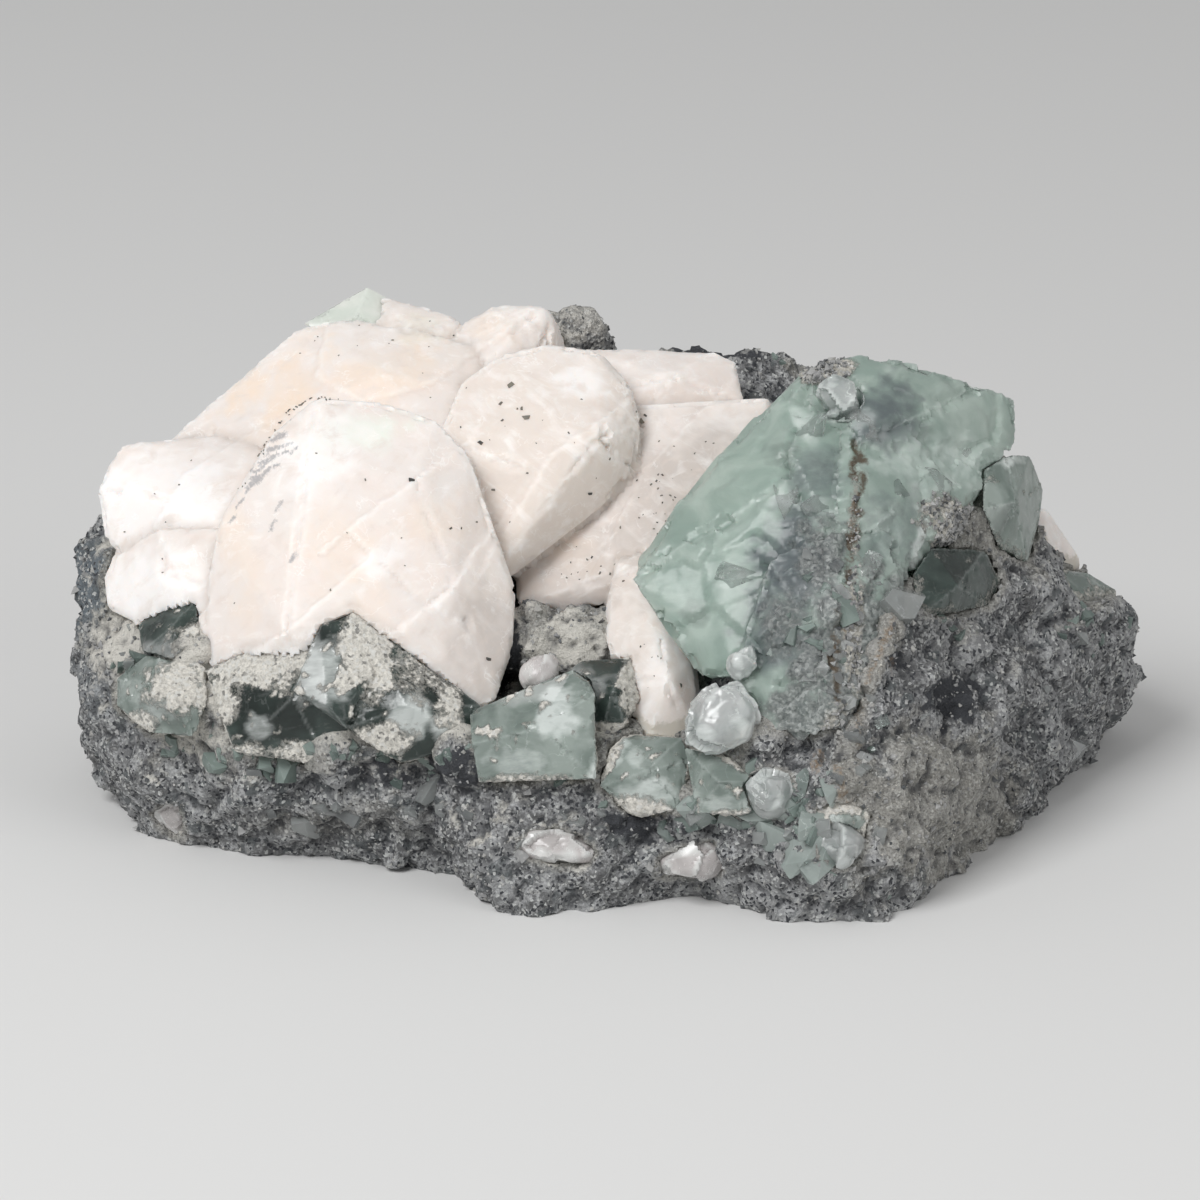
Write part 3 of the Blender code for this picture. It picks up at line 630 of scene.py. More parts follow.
def line_distance(view, line):
    """How far each place of the front view is from a line, and on which side, +1 at its right."""
    nearest = np.full(len(view), np.inf)
    side = np.zeros(len(view))
    for start, end in zip(np.array(line[:-1], float), np.array(line[1:], float)):
        run = end - start
        share = np.clip((view - start) @ run / (run @ run), 0, 1)
        offset = view - start - share[:, None] * run
        distance = np.hypot(offset[:, 0], offset[:, 1])
        closer = distance < nearest
        nearest[closer] = distance[closer]
        side[closer] = np.sign(run[1] * offset[closer, 0] - run[0] * offset[closer, 1])
    return nearest, side


def towards_eye(normals):
    """How squarely each place faces the front view, from 0 to 1."""
    return np.clip(-normals @ np.array(VIEW_ALONG), 0, 1)


def paint_marks(mesh, marks, growth=None, numbers=None, owners=None):
    points = points_of(mesh)
    for name, patches in marks.items():
        paint(mesh, name, strength_of(points, patches, 0.45, growth, numbers, owners))


def values_of(mesh, name):
    values = np.empty(len(mesh.vertices), np.float32)
    mesh.attributes[name].data.foreach_get("value", values)
    return values.astype(float)


def tree_of(pieces):
    """One search tree of the surfaces of several objects."""
    points, faces = [], []
    for piece in pieces:
        first = len(points)
        points += [vertex.co.copy() for vertex in piece.data.vertices]
        faces += [[first + corner for corner in face.vertices] for face in piece.data.polygons]
    return BVHTree.FromPolygons(points, faces)


def nearness(points, tree, reach):
    """How close each point is to the surfaces in the tree: 1 where they touch, 0 at this reach or further."""
    found = [tree.find_nearest(point, reach)[3] for point in points.tolist()]
    distance = np.array([reach if gap is None else gap for gap in found])
    return 1 - ease(distance, 0.3 * reach, reach)


# Material nodes. Sizes are in millimetres on Object coordinates.


def node(tree, kind, inputs=(), **settings):
    """A shader node, with its inputs from values or from other nodes' outputs."""
    made = tree.nodes.new("ShaderNode" + kind)
    for name, value in settings.items():
        setattr(made, name, value)
    for name, value in dict(inputs).items():
        if isinstance(value, bpy.types.NodeSocket):
            tree.links.new(value, made.inputs[name])
        else:
            made.inputs[name].default_value = value
    return made


def new_material(name):
    material = bpy.data.materials.new(name)
    material.use_nodes = True
    return material, material.node_tree, material.node_tree.nodes["Principled BSDF"]


def place(tree, stretch=(1, 1, 1), turn=(0, 0, 0)):
    """Object coordinates in millimetres, turned and then stretched."""
    place_in_mm = tuple(1 / (MM * share) for share in stretch)
    where = node(tree, "TexCoord").outputs["Object"]
    turned = node(tree, "Mapping", {"Vector": where, "Rotation": tuple(math.radians(angle) for angle in turn)})
    return node(tree, "Mapping", {"Vector": turned.outputs["Vector"], "Scale": place_in_mm}).outputs["Vector"]


def clouds(tree, where, size, detail=4.0, roughness=0.55, distortion=0.0):
    inputs = {
        "Vector": where, "Scale": 1 / size, "Detail": detail, "Roughness": roughness, "Distortion": distortion,
    }
    return node(tree, "TexNoise", inputs).outputs["Fac"]


def cells(tree, where, size):
    """The random colour of each cell, parted in three numbers, and the distance to its middle."""
    made = node(tree, "TexVoronoi", {"Vector": where, "Scale": 1 / size})
    parted = node(tree, "SeparateColor", {"Color": made.outputs["Color"]})
    return (*parted.outputs, made.outputs["Distance"])


def hairlines(tree, where, size, width):
    """Thin, broken lines that wander through a crystal."""
    wandering = clouds(tree, where, size, 4, 0.6, 0.4)
    line = calculate(tree, "ABSOLUTE", calculate(tree, "SUBTRACT", wandering, 0.5))
    broken = spread(tree, clouds(tree, where, size * 0.8, 2), 0.48, 0.6)
    return calculate(tree, "MULTIPLY", spread(tree, line, width, 0.2 * width), broken)


def spread(tree, value, low, high):
    """0 at low and 1 at high."""
    return node(tree, "MapRange", {"Value": value, "From Min": low, "From Max": high}).outputs["Result"]


def calculate(tree, operation, first, second=0.0, clamp=False):
    made = node(tree, "Math", operation=operation, use_clamp=clamp)
    for socket, value in zip(made.inputs, (first, second)):
        if isinstance(value, bpy.types.NodeSocket):
            tree.links.new(value, socket)
        else:
            socket.default_value = value
    return made.outputs["Value"]


def blend(tree, share, first, second):
    """Goes from the first colour to the second one as the share goes from 0 to 1."""
    made = node(tree, "Mix", data_type="RGBA")
    for number, value in ((0, share), (6, first), (7, second)):
        if isinstance(value, bpy.types.NodeSocket):
            tree.links.new(value, made.inputs[number])
        else:
            made.inputs[number].default_value = (*value, 1) if number else value
    return made.outputs[2]


def mark(tree, name):
    return node(tree, "Attribute", attribute_name=name).outputs["Fac"]


def ragged_mark(tree, name, texture, amount=0.8, low=0.4, high=0.6):
    """A painted mark whose border breaks up along a texture."""
    share = mark(tree, name)
    broken = calculate(tree, "MULTIPLY_ADD", texture, amount)
    tree.links.new(share, broken.node.inputs[2])
    ragged = spread(tree, broken, low + amount / 2, high + amount / 2)
    return calculate(tree, "MULTIPLY", ragged, spread(tree, share, 0.02, 0.25))


def relief(tree, shader, layers):
    """Fine relief from textures: each layer's height as a number from 0 to 1 and its depth in millimetres."""
    normal = None
    for height, depth in layers:
        inputs = {"Height": height, "Distance": depth * MM, "Strength": 1.0}
        if normal is not None:
            inputs["Normal"] = normal
        normal = node(tree, "Bump", inputs).outputs["Normal"]
    tree.links.new(normal, shader.inputs["Normal"])


def rock_material(settings):
    material, tree, shader = new_material("granular rock")
    where = place(tree)
    broad = clouds(tree, where, 7, 3, 0.5)
    rugged = clouds(tree, where, 2.4, 4, 0.6)
    sugar = clouds(tree, where, 0.62, 4, 0.72)
    fine = clouds(tree, where, 0.3, 3, 0.7)
    lot, other_lot, _, middle = cells(tree, where, 0.36)
    glassy_lot = cells(tree, place(tree, (1.2, 1, 0.8), (20, 30, 0)), 2.3)[0]
    dark_half = tuple(0.34 * c for c in settings.colour)
    pale_half = tuple(1.45 * c for c in settings.colour)
    colour = blend(tree, spread(tree, sugar, 0.4, 0.62), dark_half, pale_half)
    colour = blend(tree, calculate(tree, "MULTIPLY", spread(tree, rugged, 0.54, 0.42), 0.8), colour, dark_half)
    colour = blend(tree, calculate(tree, "MULTIPLY", spread(tree, broad, 0.48, 0.66), 0.5), colour, pale_half)
    colour = blend(tree, ragged_mark(tree, "blue", sugar, 0.8, 0.3, 0.9), colour, (0.15, 0.175, 0.195))
    glassy = calculate(tree, "MULTIPLY", spread(tree, glassy_lot, 0.24, 0.2), spread(tree, rugged, 0.6, 0.45))
    colour = blend(tree, calculate(tree, "MULTIPLY", glassy, 0.8), colour, (0.105, 0.118, 0.122))
    colour = blend(tree, spread(tree, lot, 0.84, 0.9), colour, settings.pale)
    colour = blend(tree, spread(tree, other_lot, 0.84, 0.9), colour, settings.dark)
    sandy = blend(tree, spread(tree, fine, 0.36, 0.6), tuple(0.5 * c for c in settings.sand), settings.sand)
    sand = ragged_mark(tree, "sand", sugar, 1.3, 0.15, 0.6)
    colour = blend(tree, calculate(tree, "MULTIPLY", sand, 0.6), colour, sandy)
    colour = blend(tree, ragged_mark(tree, "dust", sugar, 1.3, 0.2, 0.7), colour, settings.dust)
    colour = blend(tree, ragged_mark(tree, "deep", rugged, 3.0, 0.2, 0.5), colour, settings.dark)
    colour = blend(tree, ragged_mark(tree, "rust", sugar, 1.8, 0.35, 0.9), colour, (0.25, 0.175, 0.11))
    # Painted shade: the rock darkens towards its darkest grain colour in its pits and hollows.
    colour = blend(tree, calculate(tree, "MULTIPLY", mark(tree, "hollow_shade"), 0.75), colour, settings.dark)
    tree.links.new(colour, shader.inputs["Base Color"])
    dull = calculate(tree, "MULTIPLY_ADD", spread(tree, lot, 0.95, 0.8), 0.35)
    dull.node.inputs[2].default_value = 0.42
    tree.links.new(dull, shader.inputs["Roughness"])
    relief(tree, shader, [(sugar, 0.5), (fine, 0.16), (middle, 0.1)])
    return material


def grain_material(name, dark, pale, roughness, transmission):
    """Loose grains: each has its own shade between the dark and the pale one."""
    material, tree, shader = new_material(name)
    where = place(tree)
    patchy = clouds(tree, where, 0.4, 3)
    colour = blend(tree, mark(tree, "shade"), dark, pale)
    colour = blend(tree, spread(tree, patchy, 0.5, 0.8), colour, tuple(min(1, 1.15 * c) for c in pale))
    tree.links.new(colour, shader.inputs["Base Color"])
    shader.inputs["Roughness"].default_value = roughness
    shader.inputs["Transmission Weight"].default_value = transmission
    relief(tree, shader, [(patchy, 0.06)])
    return material


def calcite_material(settings):
    material, tree, shader = new_material("milky calcite")
    where = place(tree)
    broad = clouds(tree, where, 8, 4, 0.5, 0.5)
    frost = clouds(tree, place(tree, (1.5, 1, 0.8), (0, 35, 20)), 2.6, 5, 0.6, 0.4)
    fine = clouds(tree, where, 0.7, 4, 0.6)
    colour = blend(tree, spread(tree, broad, 0.42, 0.62), settings.colour, (0.805, 0.735, 0.69))
    colour = blend(tree, mark(tree, "beige"), colour, (0.76, 0.69, 0.63))
    peach = calculate(tree, "MULTIPLY", mark(tree, "peach"), spread(tree, broad, 0.3, 0.5))
    colour = blend(tree, peach, colour, settings.peach)
    colour = blend(tree, mark(tree, "green"), colour, (0.80, 0.86, 0.785))
    # Painted shade where the crystals lie in shadow.
    colour = blend(tree, calculate(tree, "MULTIPLY", mark(tree, "shade"), 0.8), colour, (0.58, 0.525, 0.49))
    colour = blend(tree, mark(tree, "white"), colour, (0.915, 0.895, 0.885))
    colour = blend(tree, calculate(tree, "MULTIPLY", spread(tree, frost, 0.56, 0.72), 0.5), colour, (0.93, 0.91, 0.895))
    veil = spread(tree, clouds(tree, place(tree, (2.6, 1, 0.7), (0, -35, 10)), 3.4, 5, 0.6, 0.8), 0.5, 0.68)
    veiled = calculate(tree, "MULTIPLY_ADD", mark(tree, "beige"), 0.45)
    veiled.node.inputs[2].default_value = 0.15
    colour = blend(tree, calculate(tree, "MULTIPLY", veil, veiled), colour, (0.93, 0.91, 0.895))
    clear = calculate(tree, "MULTIPLY", spread(tree, frost, 0.46, 0.3), 0.6)
    colour = blend(tree, clear, colour, (0.73, 0.655, 0.605))
    # Painted shade beside the growth steps.
    colour = blend(tree, calculate(tree, "MULTIPLY", mark(tree, "step"), 0.3), colour, (0.74, 0.665, 0.625))
    # Painted shade along the seams between the crystals.
    colour = blend(tree, calculate(tree, "MULTIPLY", mark(tree, "hollow_shade"), 0.4), colour, (0.56, 0.485, 0.43))
    # Painted highlight on raised edges and rims.
    colour = blend(tree, calculate(tree, "MULTIPLY", mark(tree, "edge"), 0.22), colour, (0.93, 0.915, 0.90))
    colour = blend(tree, calculate(tree, "MULTIPLY", hairlines(tree, where, 5, 0.012), 0.35), colour, (0.96, 0.95, 0.94))
    colour = blend(tree, ragged_mark(tree, "dust", fine, 1.6, 0.3, 0.7), colour, (0.62, 0.58, 0.52))
    broken = clouds(tree, place(tree, (2.2, 1, 0.8), (0, -40, 0)), 0.38, 4, 0.75)
    streaks = ragged_mark(tree, "streak", broken, 2.0, 0.3, 0.9)
    colour = blend(tree, calculate(tree, "MULTIPLY", streaks, 0.7), colour, (0.30, 0.30, 0.32))
    tree.links.new(colour, shader.inputs["Base Color"])
    dull = calculate(tree, "MULTIPLY_ADD", frost, 0.3)
    dull.node.inputs[2].default_value = 0.36
    tree.links.new(dull, shader.inputs["Roughness"])
    shader.inputs["Specular IOR Level"].default_value = 0.28
    shader.inputs["Subsurface Weight"].default_value = 0.7
    shader.inputs["Subsurface Radius"].default_value = (1.0, 0.85, 0.75)
    shader.inputs["Subsurface Scale"].default_value = settings.depth
    shader.inputs["IOR"].default_value = 1.55
    relief(tree, shader, [(frost, 0.05), (fine, 0.006)])
    return material


def crystal_material(name, pale, deep, clear, ior, roughness, absorbed, density, sand, glow=1.0, cracks=0.3):
    """A clear crystal with milky clouds, fine cracks, thick and thin zones, and dust on it."""
    material, tree, shader = new_material(name)
    where = place(tree)
    broad = clouds(tree, where, 6, 4, 0.55, 0.6)
    wisps = clouds(tree, place(tree, (2.6, 1, 0.8), (0, 12, 25)), 1.5, 5, 0.65)
    fine = clouds(tree, where, 0.5, 5, 0.7)
    lot, other_lot, _, middle = cells(tree, where, 0.4)
    colour = blend(tree, spread(tree, broad, 0.38, 0.62), deep, pale)
    colour = blend(tree, mark(tree, "shade"), colour, pale)
    colour = blend(tree, ragged_mark(tree, "pale", wisps, 0.5, 0.1, 0.9), colour, tuple(0.5 + 0.5 * c for c in pale))
    colour = blend(tree, ragged_mark(tree, "deep", wisps, 0.6, 0.1, 0.9), colour, tuple(0.5 * c for c in deep))
    colour = blend(tree, ragged_mark(tree, "grey", wisps, 1.0, 0.0, 0.9), colour, (0.20, 0.235, 0.25))
    cloudy = calculate(tree, "MULTIPLY", ragged_mark(tree, "cloud", wisps, 1.2, 0.1, 0.9), 0.8)
    milk = calculate(tree, "MAXIMUM", calculate(tree, "MULTIPLY", spread(tree, wisps, 0.58, 0.85), 0.22), cloudy)
    milk = calculate(tree, "MAXIMUM", milk, calculate(tree, "MULTIPLY", hairlines(tree, where, 4, 0.012), cracks))
    # Painted highlight: raised edges and rims turn milky white and less clear.
    milk = calculate(tree, "MAXIMUM", milk, calculate(tree, "MULTIPLY", mark(tree, "edge"), 0.6))
    colour = blend(tree, calculate(tree, "MULTIPLY", milk, 0.85), colour, (0.80, 0.84, 0.82))
    grit = ragged_mark(tree, "grit", fine, 1.2, 0.1, 0.7)
    granular = blend(tree, spread(tree, fine, 0.38, 0.62), (0.15, 0.165, 0.175), (0.47, 0.485, 0.475))
    granular = blend(tree, spread(tree, lot, 0.7, 0.8), granular, (0.60, 0.62, 0.61))
    colour = blend(tree, calculate(tree, "MULTIPLY", grit, 0.85), colour, granular)
    crust = ragged_mark(tree, "crust", fine, 1.6, 0.15, 0.6)
    dust = blend(tree, spread(tree, fine, 0.36, 0.6), tuple(0.62 * c for c in sand), tuple(1.08 * c for c in sand))
    dust = blend(tree, spread(tree, lot, 0.78, 0.86), dust, (0.60, 0.595, 0.565))
    dust = blend(tree, spread(tree, other_lot, 0.92, 0.97), dust, (0.24, 0.235, 0.22))
    colour = blend(tree, crust, colour, dust)
    colour = blend(tree, ragged_mark(tree, "vein", fine, 1.8, 0.1, 0.6), colour, (0.19, 0.15, 0.11))
    tree.links.new(colour, shader.inputs["Base Color"])
    cover = calculate(tree, "MAXIMUM", calculate(tree, "MULTIPLY", milk, 0.75), crust)
    cleared = calculate(tree, "MULTIPLY", calculate(tree, "SUBTRACT", 1.0, cover, True), clear)
    tree.links.new(cleared, shader.inputs["Transmission Weight"])
    dull = calculate(tree, "MULTIPLY_ADD", calculate(tree, "MAXIMUM", crust, calculate(tree, "MULTIPLY", fine, 0.15)), 0.6)
    dull.node.inputs[2].default_value = roughness
    tree.links.new(dull, shader.inputs["Roughness"])
    shader.inputs["IOR"].default_value = ior
    shader.inputs["Subsurface Weight"].default_value = 0.35
    shader.inputs["Subsurface Radius"].default_value = (1.0, 1.0, 1.0)
    shader.inputs["Subsurface Scale"].default_value = glow * MM
    absorption = node(tree, "VolumeAbsorption", {"Color": (*absorbed, 1), "Density": density})
    tree.links.new(absorption.outputs["Volume"], tree.nodes["Material Output"].inputs["Volume"])
    dusty = calculate(tree, "MULTIPLY", fine, calculate(tree, "MAXIMUM", calculate(tree, "MAXIMUM", crust, grit), 0.03))
    relief(tree, shader, [(wisps, 0.03), (dusty, 0.2), (calculate(tree, "MULTIPLY", middle, crust), 0.08)])
    return material


def flake_material():
    material, tree, shader = new_material("dark flakes")
    colour = blend(tree, mark(tree, "shade"), (0.05, 0.048, 0.045), (0.20, 0.185, 0.15))
    tree.links.new(colour, shader.inputs["Base Color"])
    shader.inputs["Roughness"].default_value = 0.55
    relief(tree, shader, [(clouds(tree, place(tree), 0.2), 0.03)])
    return material


def floor_material(settings):
    material, tree, shader = new_material("studio floor")
    shader.inputs["Base Color"].default_value = (*settings.floor, 1)
    shader.inputs["Roughness"].default_value = 0.9
    return material


# The pieces.


def add_mounds(piece):
    """Joins rounded mounds to a piece."""
    solids = tree_of(frame["nodes"].values())
    for (across, up, depth), radius in MOUNDS:
        spot = shown_at(solids, across, up)[0] if depth is None else at(across, up, depth)
        bpy.ops.object.select_all(action="DESELECT")
        bpy.ops.mesh.primitive_ico_sphere_add(subdivisions=3, radius=radius * MM, location=spot)
        mound = bpy.context.object
        mound.data.transform(mound.matrix_world)
        mound.matrix_world.identity()
        piece.select_set(True)
        bpy.context.view_layer.objects.active = piece
        bpy.ops.object.join()


def shape_rock(piece):
    """Rounded lobes, broken shards and pits on the rock, with its base left flat."""
    add_mounds(piece)
    refine(piece, ROCK_MESH, 2)
    mesh = piece.data
    points, normals = points_of(mesh), normals_of(mesh)
    base = points[:, 2] < 0.4 * MM
    height, tilt = chips_at(points, 3.6, 1, 0.6)
    small_height, small_tilt = chips_at(points, 1.5, 2, 0.6)
    rise = 2.3 * np.abs(noise_at(points, 4.6, 5)) + 1.2 * np.abs(noise_at(points, 1.9, 6)) - 0.75
    rise += 0.35 * height + 0.3 * tilt + 0.3 * small_height + 0.25 * small_tilt
    rise = np.clip(rise, -1.2, 0.9)
    seat = nearness(points, tree_of(crystal_nodes()), 1.5 * MM)
    rise += seat * (0.45 + 0.5 * small_height + 0.5 * noise_at(points, 1.6, 9) - rise)
    moved = points + normals * rise[:, None] * MM
    moved[:, 2] = np.maximum(moved[:, 2], 0)
    moved[base, 2] = 0
    put_points(mesh, moved)
    normals = normals_of(mesh)
    stands = bulge(mesh, moved, normals, 5)
    # Painted shade: darker in the rock's pits and hollows, where light hardly reaches; the same mask thins the grains
    # there.
    paint(mesh, "hollow_shade", ease(-stands, 0.02, 0.4) * (1 - seat))
    paint_marks(mesh, ROCK_MARKS)
    shown = ease(-normals @ np.array(VIEW_ALONG), -0.3, 0.1)
    for name in ROCK_MARKS:
        paint(mesh, name, values_of(mesh, name) * shown)
    # Painted highlight: upward faces on the left side are whitened with the dust colour, as where light falls on the
    # tops of the lumps.
    lit_tops = ease(normals[:, 2], 0.1, 0.8) * ease(noise_at(moved, 3, 11), -0.2, 0.4) * ease(-moved[:, 0], -20 * MM, 10 * MM)
    paint(mesh, "dust", np.maximum(values_of(mesh, "dust"), 0.8 * lit_tops))
    up = ease(normals[:, 2], 0.2, 0.9) * ease(noise_at(moved, 7, 8), -0.4, 0.5)
    paint(mesh, "sand", np.maximum.reduce([values_of(mesh, "sand"), 0.6 * up, 0.6 * seat]))


def shape_calcite(piece):
    """Flat faces, growth steps and chipped edges on the white crystals."""
    growth = growth_of(piece)
    owners = refine(piece, CALCITE_MESH, 1, growth)
    mesh = piece.data
    points, normals = points_of(mesh), normals_of(mesh)
    view = front(points)
    others = [obj for obj in frame["nodes"].values() if obj.name not in CALCITE_NODES and obj.name != "matrix"]
    seat = nearness(points, tree_of(others), 1.0 * MM)
    rim, seam = gap_to(points, growth.rims, 4), gap_to(points, growth.seams, 4)
    rise = 0.14 * noise_at(points, 9, 1) + 0.05 * noise_at(points, 3, 2) + 0.4 * seat
    wander = np.column_stack((noise_at(points, 1.8, 7), noise_at(points, 1.8, 8)))
    steps = np.zeros(len(points))
    for ledge in CALCITE_LEDGES:
        distance, side = line_distance(view + 0.25 * wander, ledge.line)
        drop = np.where(side > 0, np.exp(-distance / ledge.fade) * ease(distance, 0, 0.3), 0)
        drop *= ease(towards_eye(normals), 0.1, 0.5)
        steps = np.maximum(steps, drop)
        rise -= ledge.drop * drop
    height, tilt = chips_at(points, (2.6, 2.6, 3.4), 4, 0.3)
    small_height, small_tilt = chips_at(points, 1.2, 5, 0.3)
    notched = ease(height + 0.5 * noise_at(points, 5, 6), -0.15, 0.0)
    chip = ease(-rim, -0.9 + 0.5 * height, -0.1) * (1 + 1.3 * strength_of(points, JAGGED_RIMS))
    rise -= chip * (1 - seat) * (0.45 * notched * (0.6 + tilt) + 0.2 * (small_height + 0.5))
    rise -= 0.16 * ease(-seam, -0.5, 0) * (0.6 + 0.8 * small_height) * (1 - seat)
    rough = ease(noise_at(points, 7, 10), -0.1, 0.5)
    rough = rough + 3 * strength_of(points, ROUGH_FACES)
    rise += rough * (0.10 * tilt + 0.07 * small_tilt + 0.04 * small_height)
    moved = points + normals * rise[:, None] * MM
    put_points(mesh, moved)
    normals = normals_of(mesh)
    stands = bulge(mesh, moved, normals, 2)
    # Painted shade: darker along the seams where the crystals meet.
    paint(mesh, "hollow_shade", ease(-seam + 0.5 * noise_at(points, 2, 12), -1.6, -0.1))
    # Painted highlight: paler on raised edges and along the sharp rims.
    paint(mesh, "edge", np.maximum(ease(stands, 0.03, 0.14), 0.8 * ease(-rim, -0.5, -0.1)) * (1 - seat))
    # Painted shade: darker on the side of each growth step turned from the light, fading away from the step.
    paint(mesh, "step", steps)
    paint(mesh, "dust", nearness(moved, tree_of([frame["nodes"]["matrix"]]), 2.0 * MM))
    paint_marks(mesh, CALCITE_MARKS, growth, growth.crystals, owners)
    streak = np.zeros(len(moved))
    view = front(moved) + 0.5 * wander
    for line in CALCITE_STREAKS:
        distance, _ = line_distance(view, line)
        streak = np.maximum(streak, ease(-distance, -2 * STREAK_WIDTH, 0))
    paint(mesh, "streak", streak * ease(-moved[:, 1], -4 * MM, 1 * MM))


def shape_mass(piece):
    """The broken, glassy faces of the large fluorite."""
    growth = growth_of(piece)
    refine(piece, MASS_MESH, 1, growth)
    mesh = piece.data
    points, normals = points_of(mesh), normals_of(mesh)
    view = front(points)
    paint_marks(mesh, MASS_MARKS)
    crust, cloud = np.maximum(values_of(mesh, "crust"), values_of(mesh, "grit")), values_of(mesh, "cloud")
    rough = np.clip(0.08 + crust + 0.6 * cloud + 0.3 * values_of(mesh, "grey"), 0, 1.2)
    rim = gap_to(points, growth.rims, 4)
    height, tilt = chips_at(points, (7.5, 7.5, 6.5), 1, 0.15)
    small_height, small_tilt = chips_at(points, (3.2, 3.2, 2.2), 2, 0.2)
    least_height, least_tilt = chips_at(points, 1.4, 3, 0.2)
    rise = 0.25 * height + 1.15 * tilt + 0.06 * noise_at(points, 4, 8)
    rise = relaxed(mesh, rise[:, None], 1)[:, 0]
    rise += rough * (0.55 * small_height + 0.8 * small_tilt + 0.25 * least_height + 0.3 * least_tilt)
    rise += crust * (0.2 + 0.6 * noise_at(points, 1.3, 4))
    chip = ease(-rim, -2.0 + 1.2 * small_height, -0.2)
    rise -= chip * (1.0 * ease(small_height, -0.2, 0.0) * (0.7 + small_tilt) + 0.3 * (least_height + 0.5))
    wander = np.column_stack((noise_at(points, 2.2, 5), noise_at(points, 2.2, 6)))
    distance, _ = line_distance(view + 1.6 * wander, MASS_VEIN)
    broken = ease(noise_at(points, 3, 7), -0.35, 0.25)
    vein = ease(-distance, -1.2, -0.1) * ease(towards_eye(normals), 0.1, 0.5) * (0.35 + 0.65 * broken)
    rise -= 0.35 * vein
    moved = points + normals * np.clip(rise, -1.3, 0.9)[:, None] * MM
    put_points(mesh, moved)
    paint(mesh, "vein", 0.8 * vein)
    stands = bulge(mesh, moved, normals_of(mesh), 3)
    # Painted highlight: paler and milkier on raised parts and near the rims.
    paint(mesh, "edge", np.maximum(ease(stands, 0.1, 0.3) * 0.6, 0.4 * ease(-rim, -0.4, -0.1)))


def shape_block(piece, size, roughness, dusty):
    """A flat-faced crystal: crisp, a little worn at its edges, with dust where it lies."""
    growth = growth_of(piece)
    owners = refine(piece, size, 1, growth)
    mesh = piece.data
    points, normals = points_of(mesh), normals_of(mesh)
    paint_marks(mesh, BLOCK_MARKS)
    paint_marks(mesh, FACE_MARKS, growth, growth.flats, owners)
    height, tilt = chips_at(points, 4.5, 11)
    small_height, small_tilt = chips_at(points, 1.3, 12)
    buried = nearness(points, tree_of([frame["nodes"]["matrix"]]), 2.2 * MM)
    buried = ease(buried + 0.9 * noise_at(points, 2.2, 14) + 0.6 * noise_at(points, 0.9, 15), 0.2, 0.9)
    crust = dusty * np.maximum.reduce([values_of(mesh, "crust"), values_of(mesh, "face_crust"), buried])
    rim = gap_to(points, growth.rims, 4)
    rise = roughness * (0.08 * height + 0.10 * tilt + 0.03 * small_height)
    rise -= ease(-rim, -1.0, -0.1) * 0.35 * roughness * ease(small_height, -0.1, 0.3)
    rise += crust * (0.12 + 0.3 * noise_at(points, 0.9, 13) + 0.2 * small_height)
    moved = points + normals * rise[:, None] * MM
    put_points(mesh, moved)
    paint(mesh, "crust", crust)
    paint(mesh, "cloud", np.maximum(values_of(mesh, "cloud"), values_of(mesh, "face_cloud")))
    paint(mesh, "deep", np.maximum(values_of(mesh, "deep"), values_of(mesh, "face_deep")))
    paint(mesh, "pale", values_of(mesh, "face_pale"))
    stands = bulge(mesh, moved, normals_of(mesh), 3)
    # Painted highlight: paler and milkier on raised parts and near the rims.
    paint(mesh, "edge", np.maximum(0.6 * ease(stands, 0.12, 0.3), 0.35 * ease(-rim, -0.3, -0.05)))


def shape_pebble(piece):
    """A rounded crystal with worn and chipped faces."""
    refine(piece, PEBBLE_MESH, 2)
    mesh = piece.data
    points, normals = points_of(mesh), normals_of(mesh)
    height, tilt = chips_at(points, 5, 21, 0.2)
    small_height, small_tilt = chips_at(points, 2, 22, 0.2)
    rise = 0.8 * noise_at(points, 5, 24) + 0.5 * height + 1.8 * tilt + 0.1 * small_height + 0.3 * small_tilt
    moved = points + normals * rise[:, None] * MM
    put_points(mesh, moved)
    stands = bulge(mesh, moved, normals_of(mesh), 4)
    # Painted highlight: paler and milkier on raised parts.
    paint(mesh, "edge", ease(stands, 0.06, 0.22))
    paint(mesh, "cloud", ease(noise_at(moved, 3.0, 23), 0.05, 0.5) * 0.7)


def cut_shard(name, cuts, flat, seed, long=1.0):
    """A small broken crystal: a cube cut by random planes."""
    draw = np.random.default_rng(seed)
    bpy.ops.object.select_all(action="DESELECT")
    bpy.ops.mesh.primitive_cube_add(size=1)
    shard = bpy.context.object
    shard.name = name
    bpy.ops.object.mode_set(mode="EDIT")
    for _ in range(cuts):
        facing = Vector(draw.normal(size=3)).normalized()
        bpy.ops.mesh.select_all(action="SELECT")
        bpy.ops.mesh.bisect(
            plane_co=facing * draw.uniform(0.28, 0.46), plane_no=facing, use_fill=True, clear_outer=True,
        )
    bpy.ops.mesh.select_all(action="SELECT")
    bpy.ops.transform.resize(value=(long, 1 / long, flat))
    bpy.ops.mesh.quads_convert_to_tris()
    bpy.ops.object.mode_set(mode="OBJECT")
    return shard


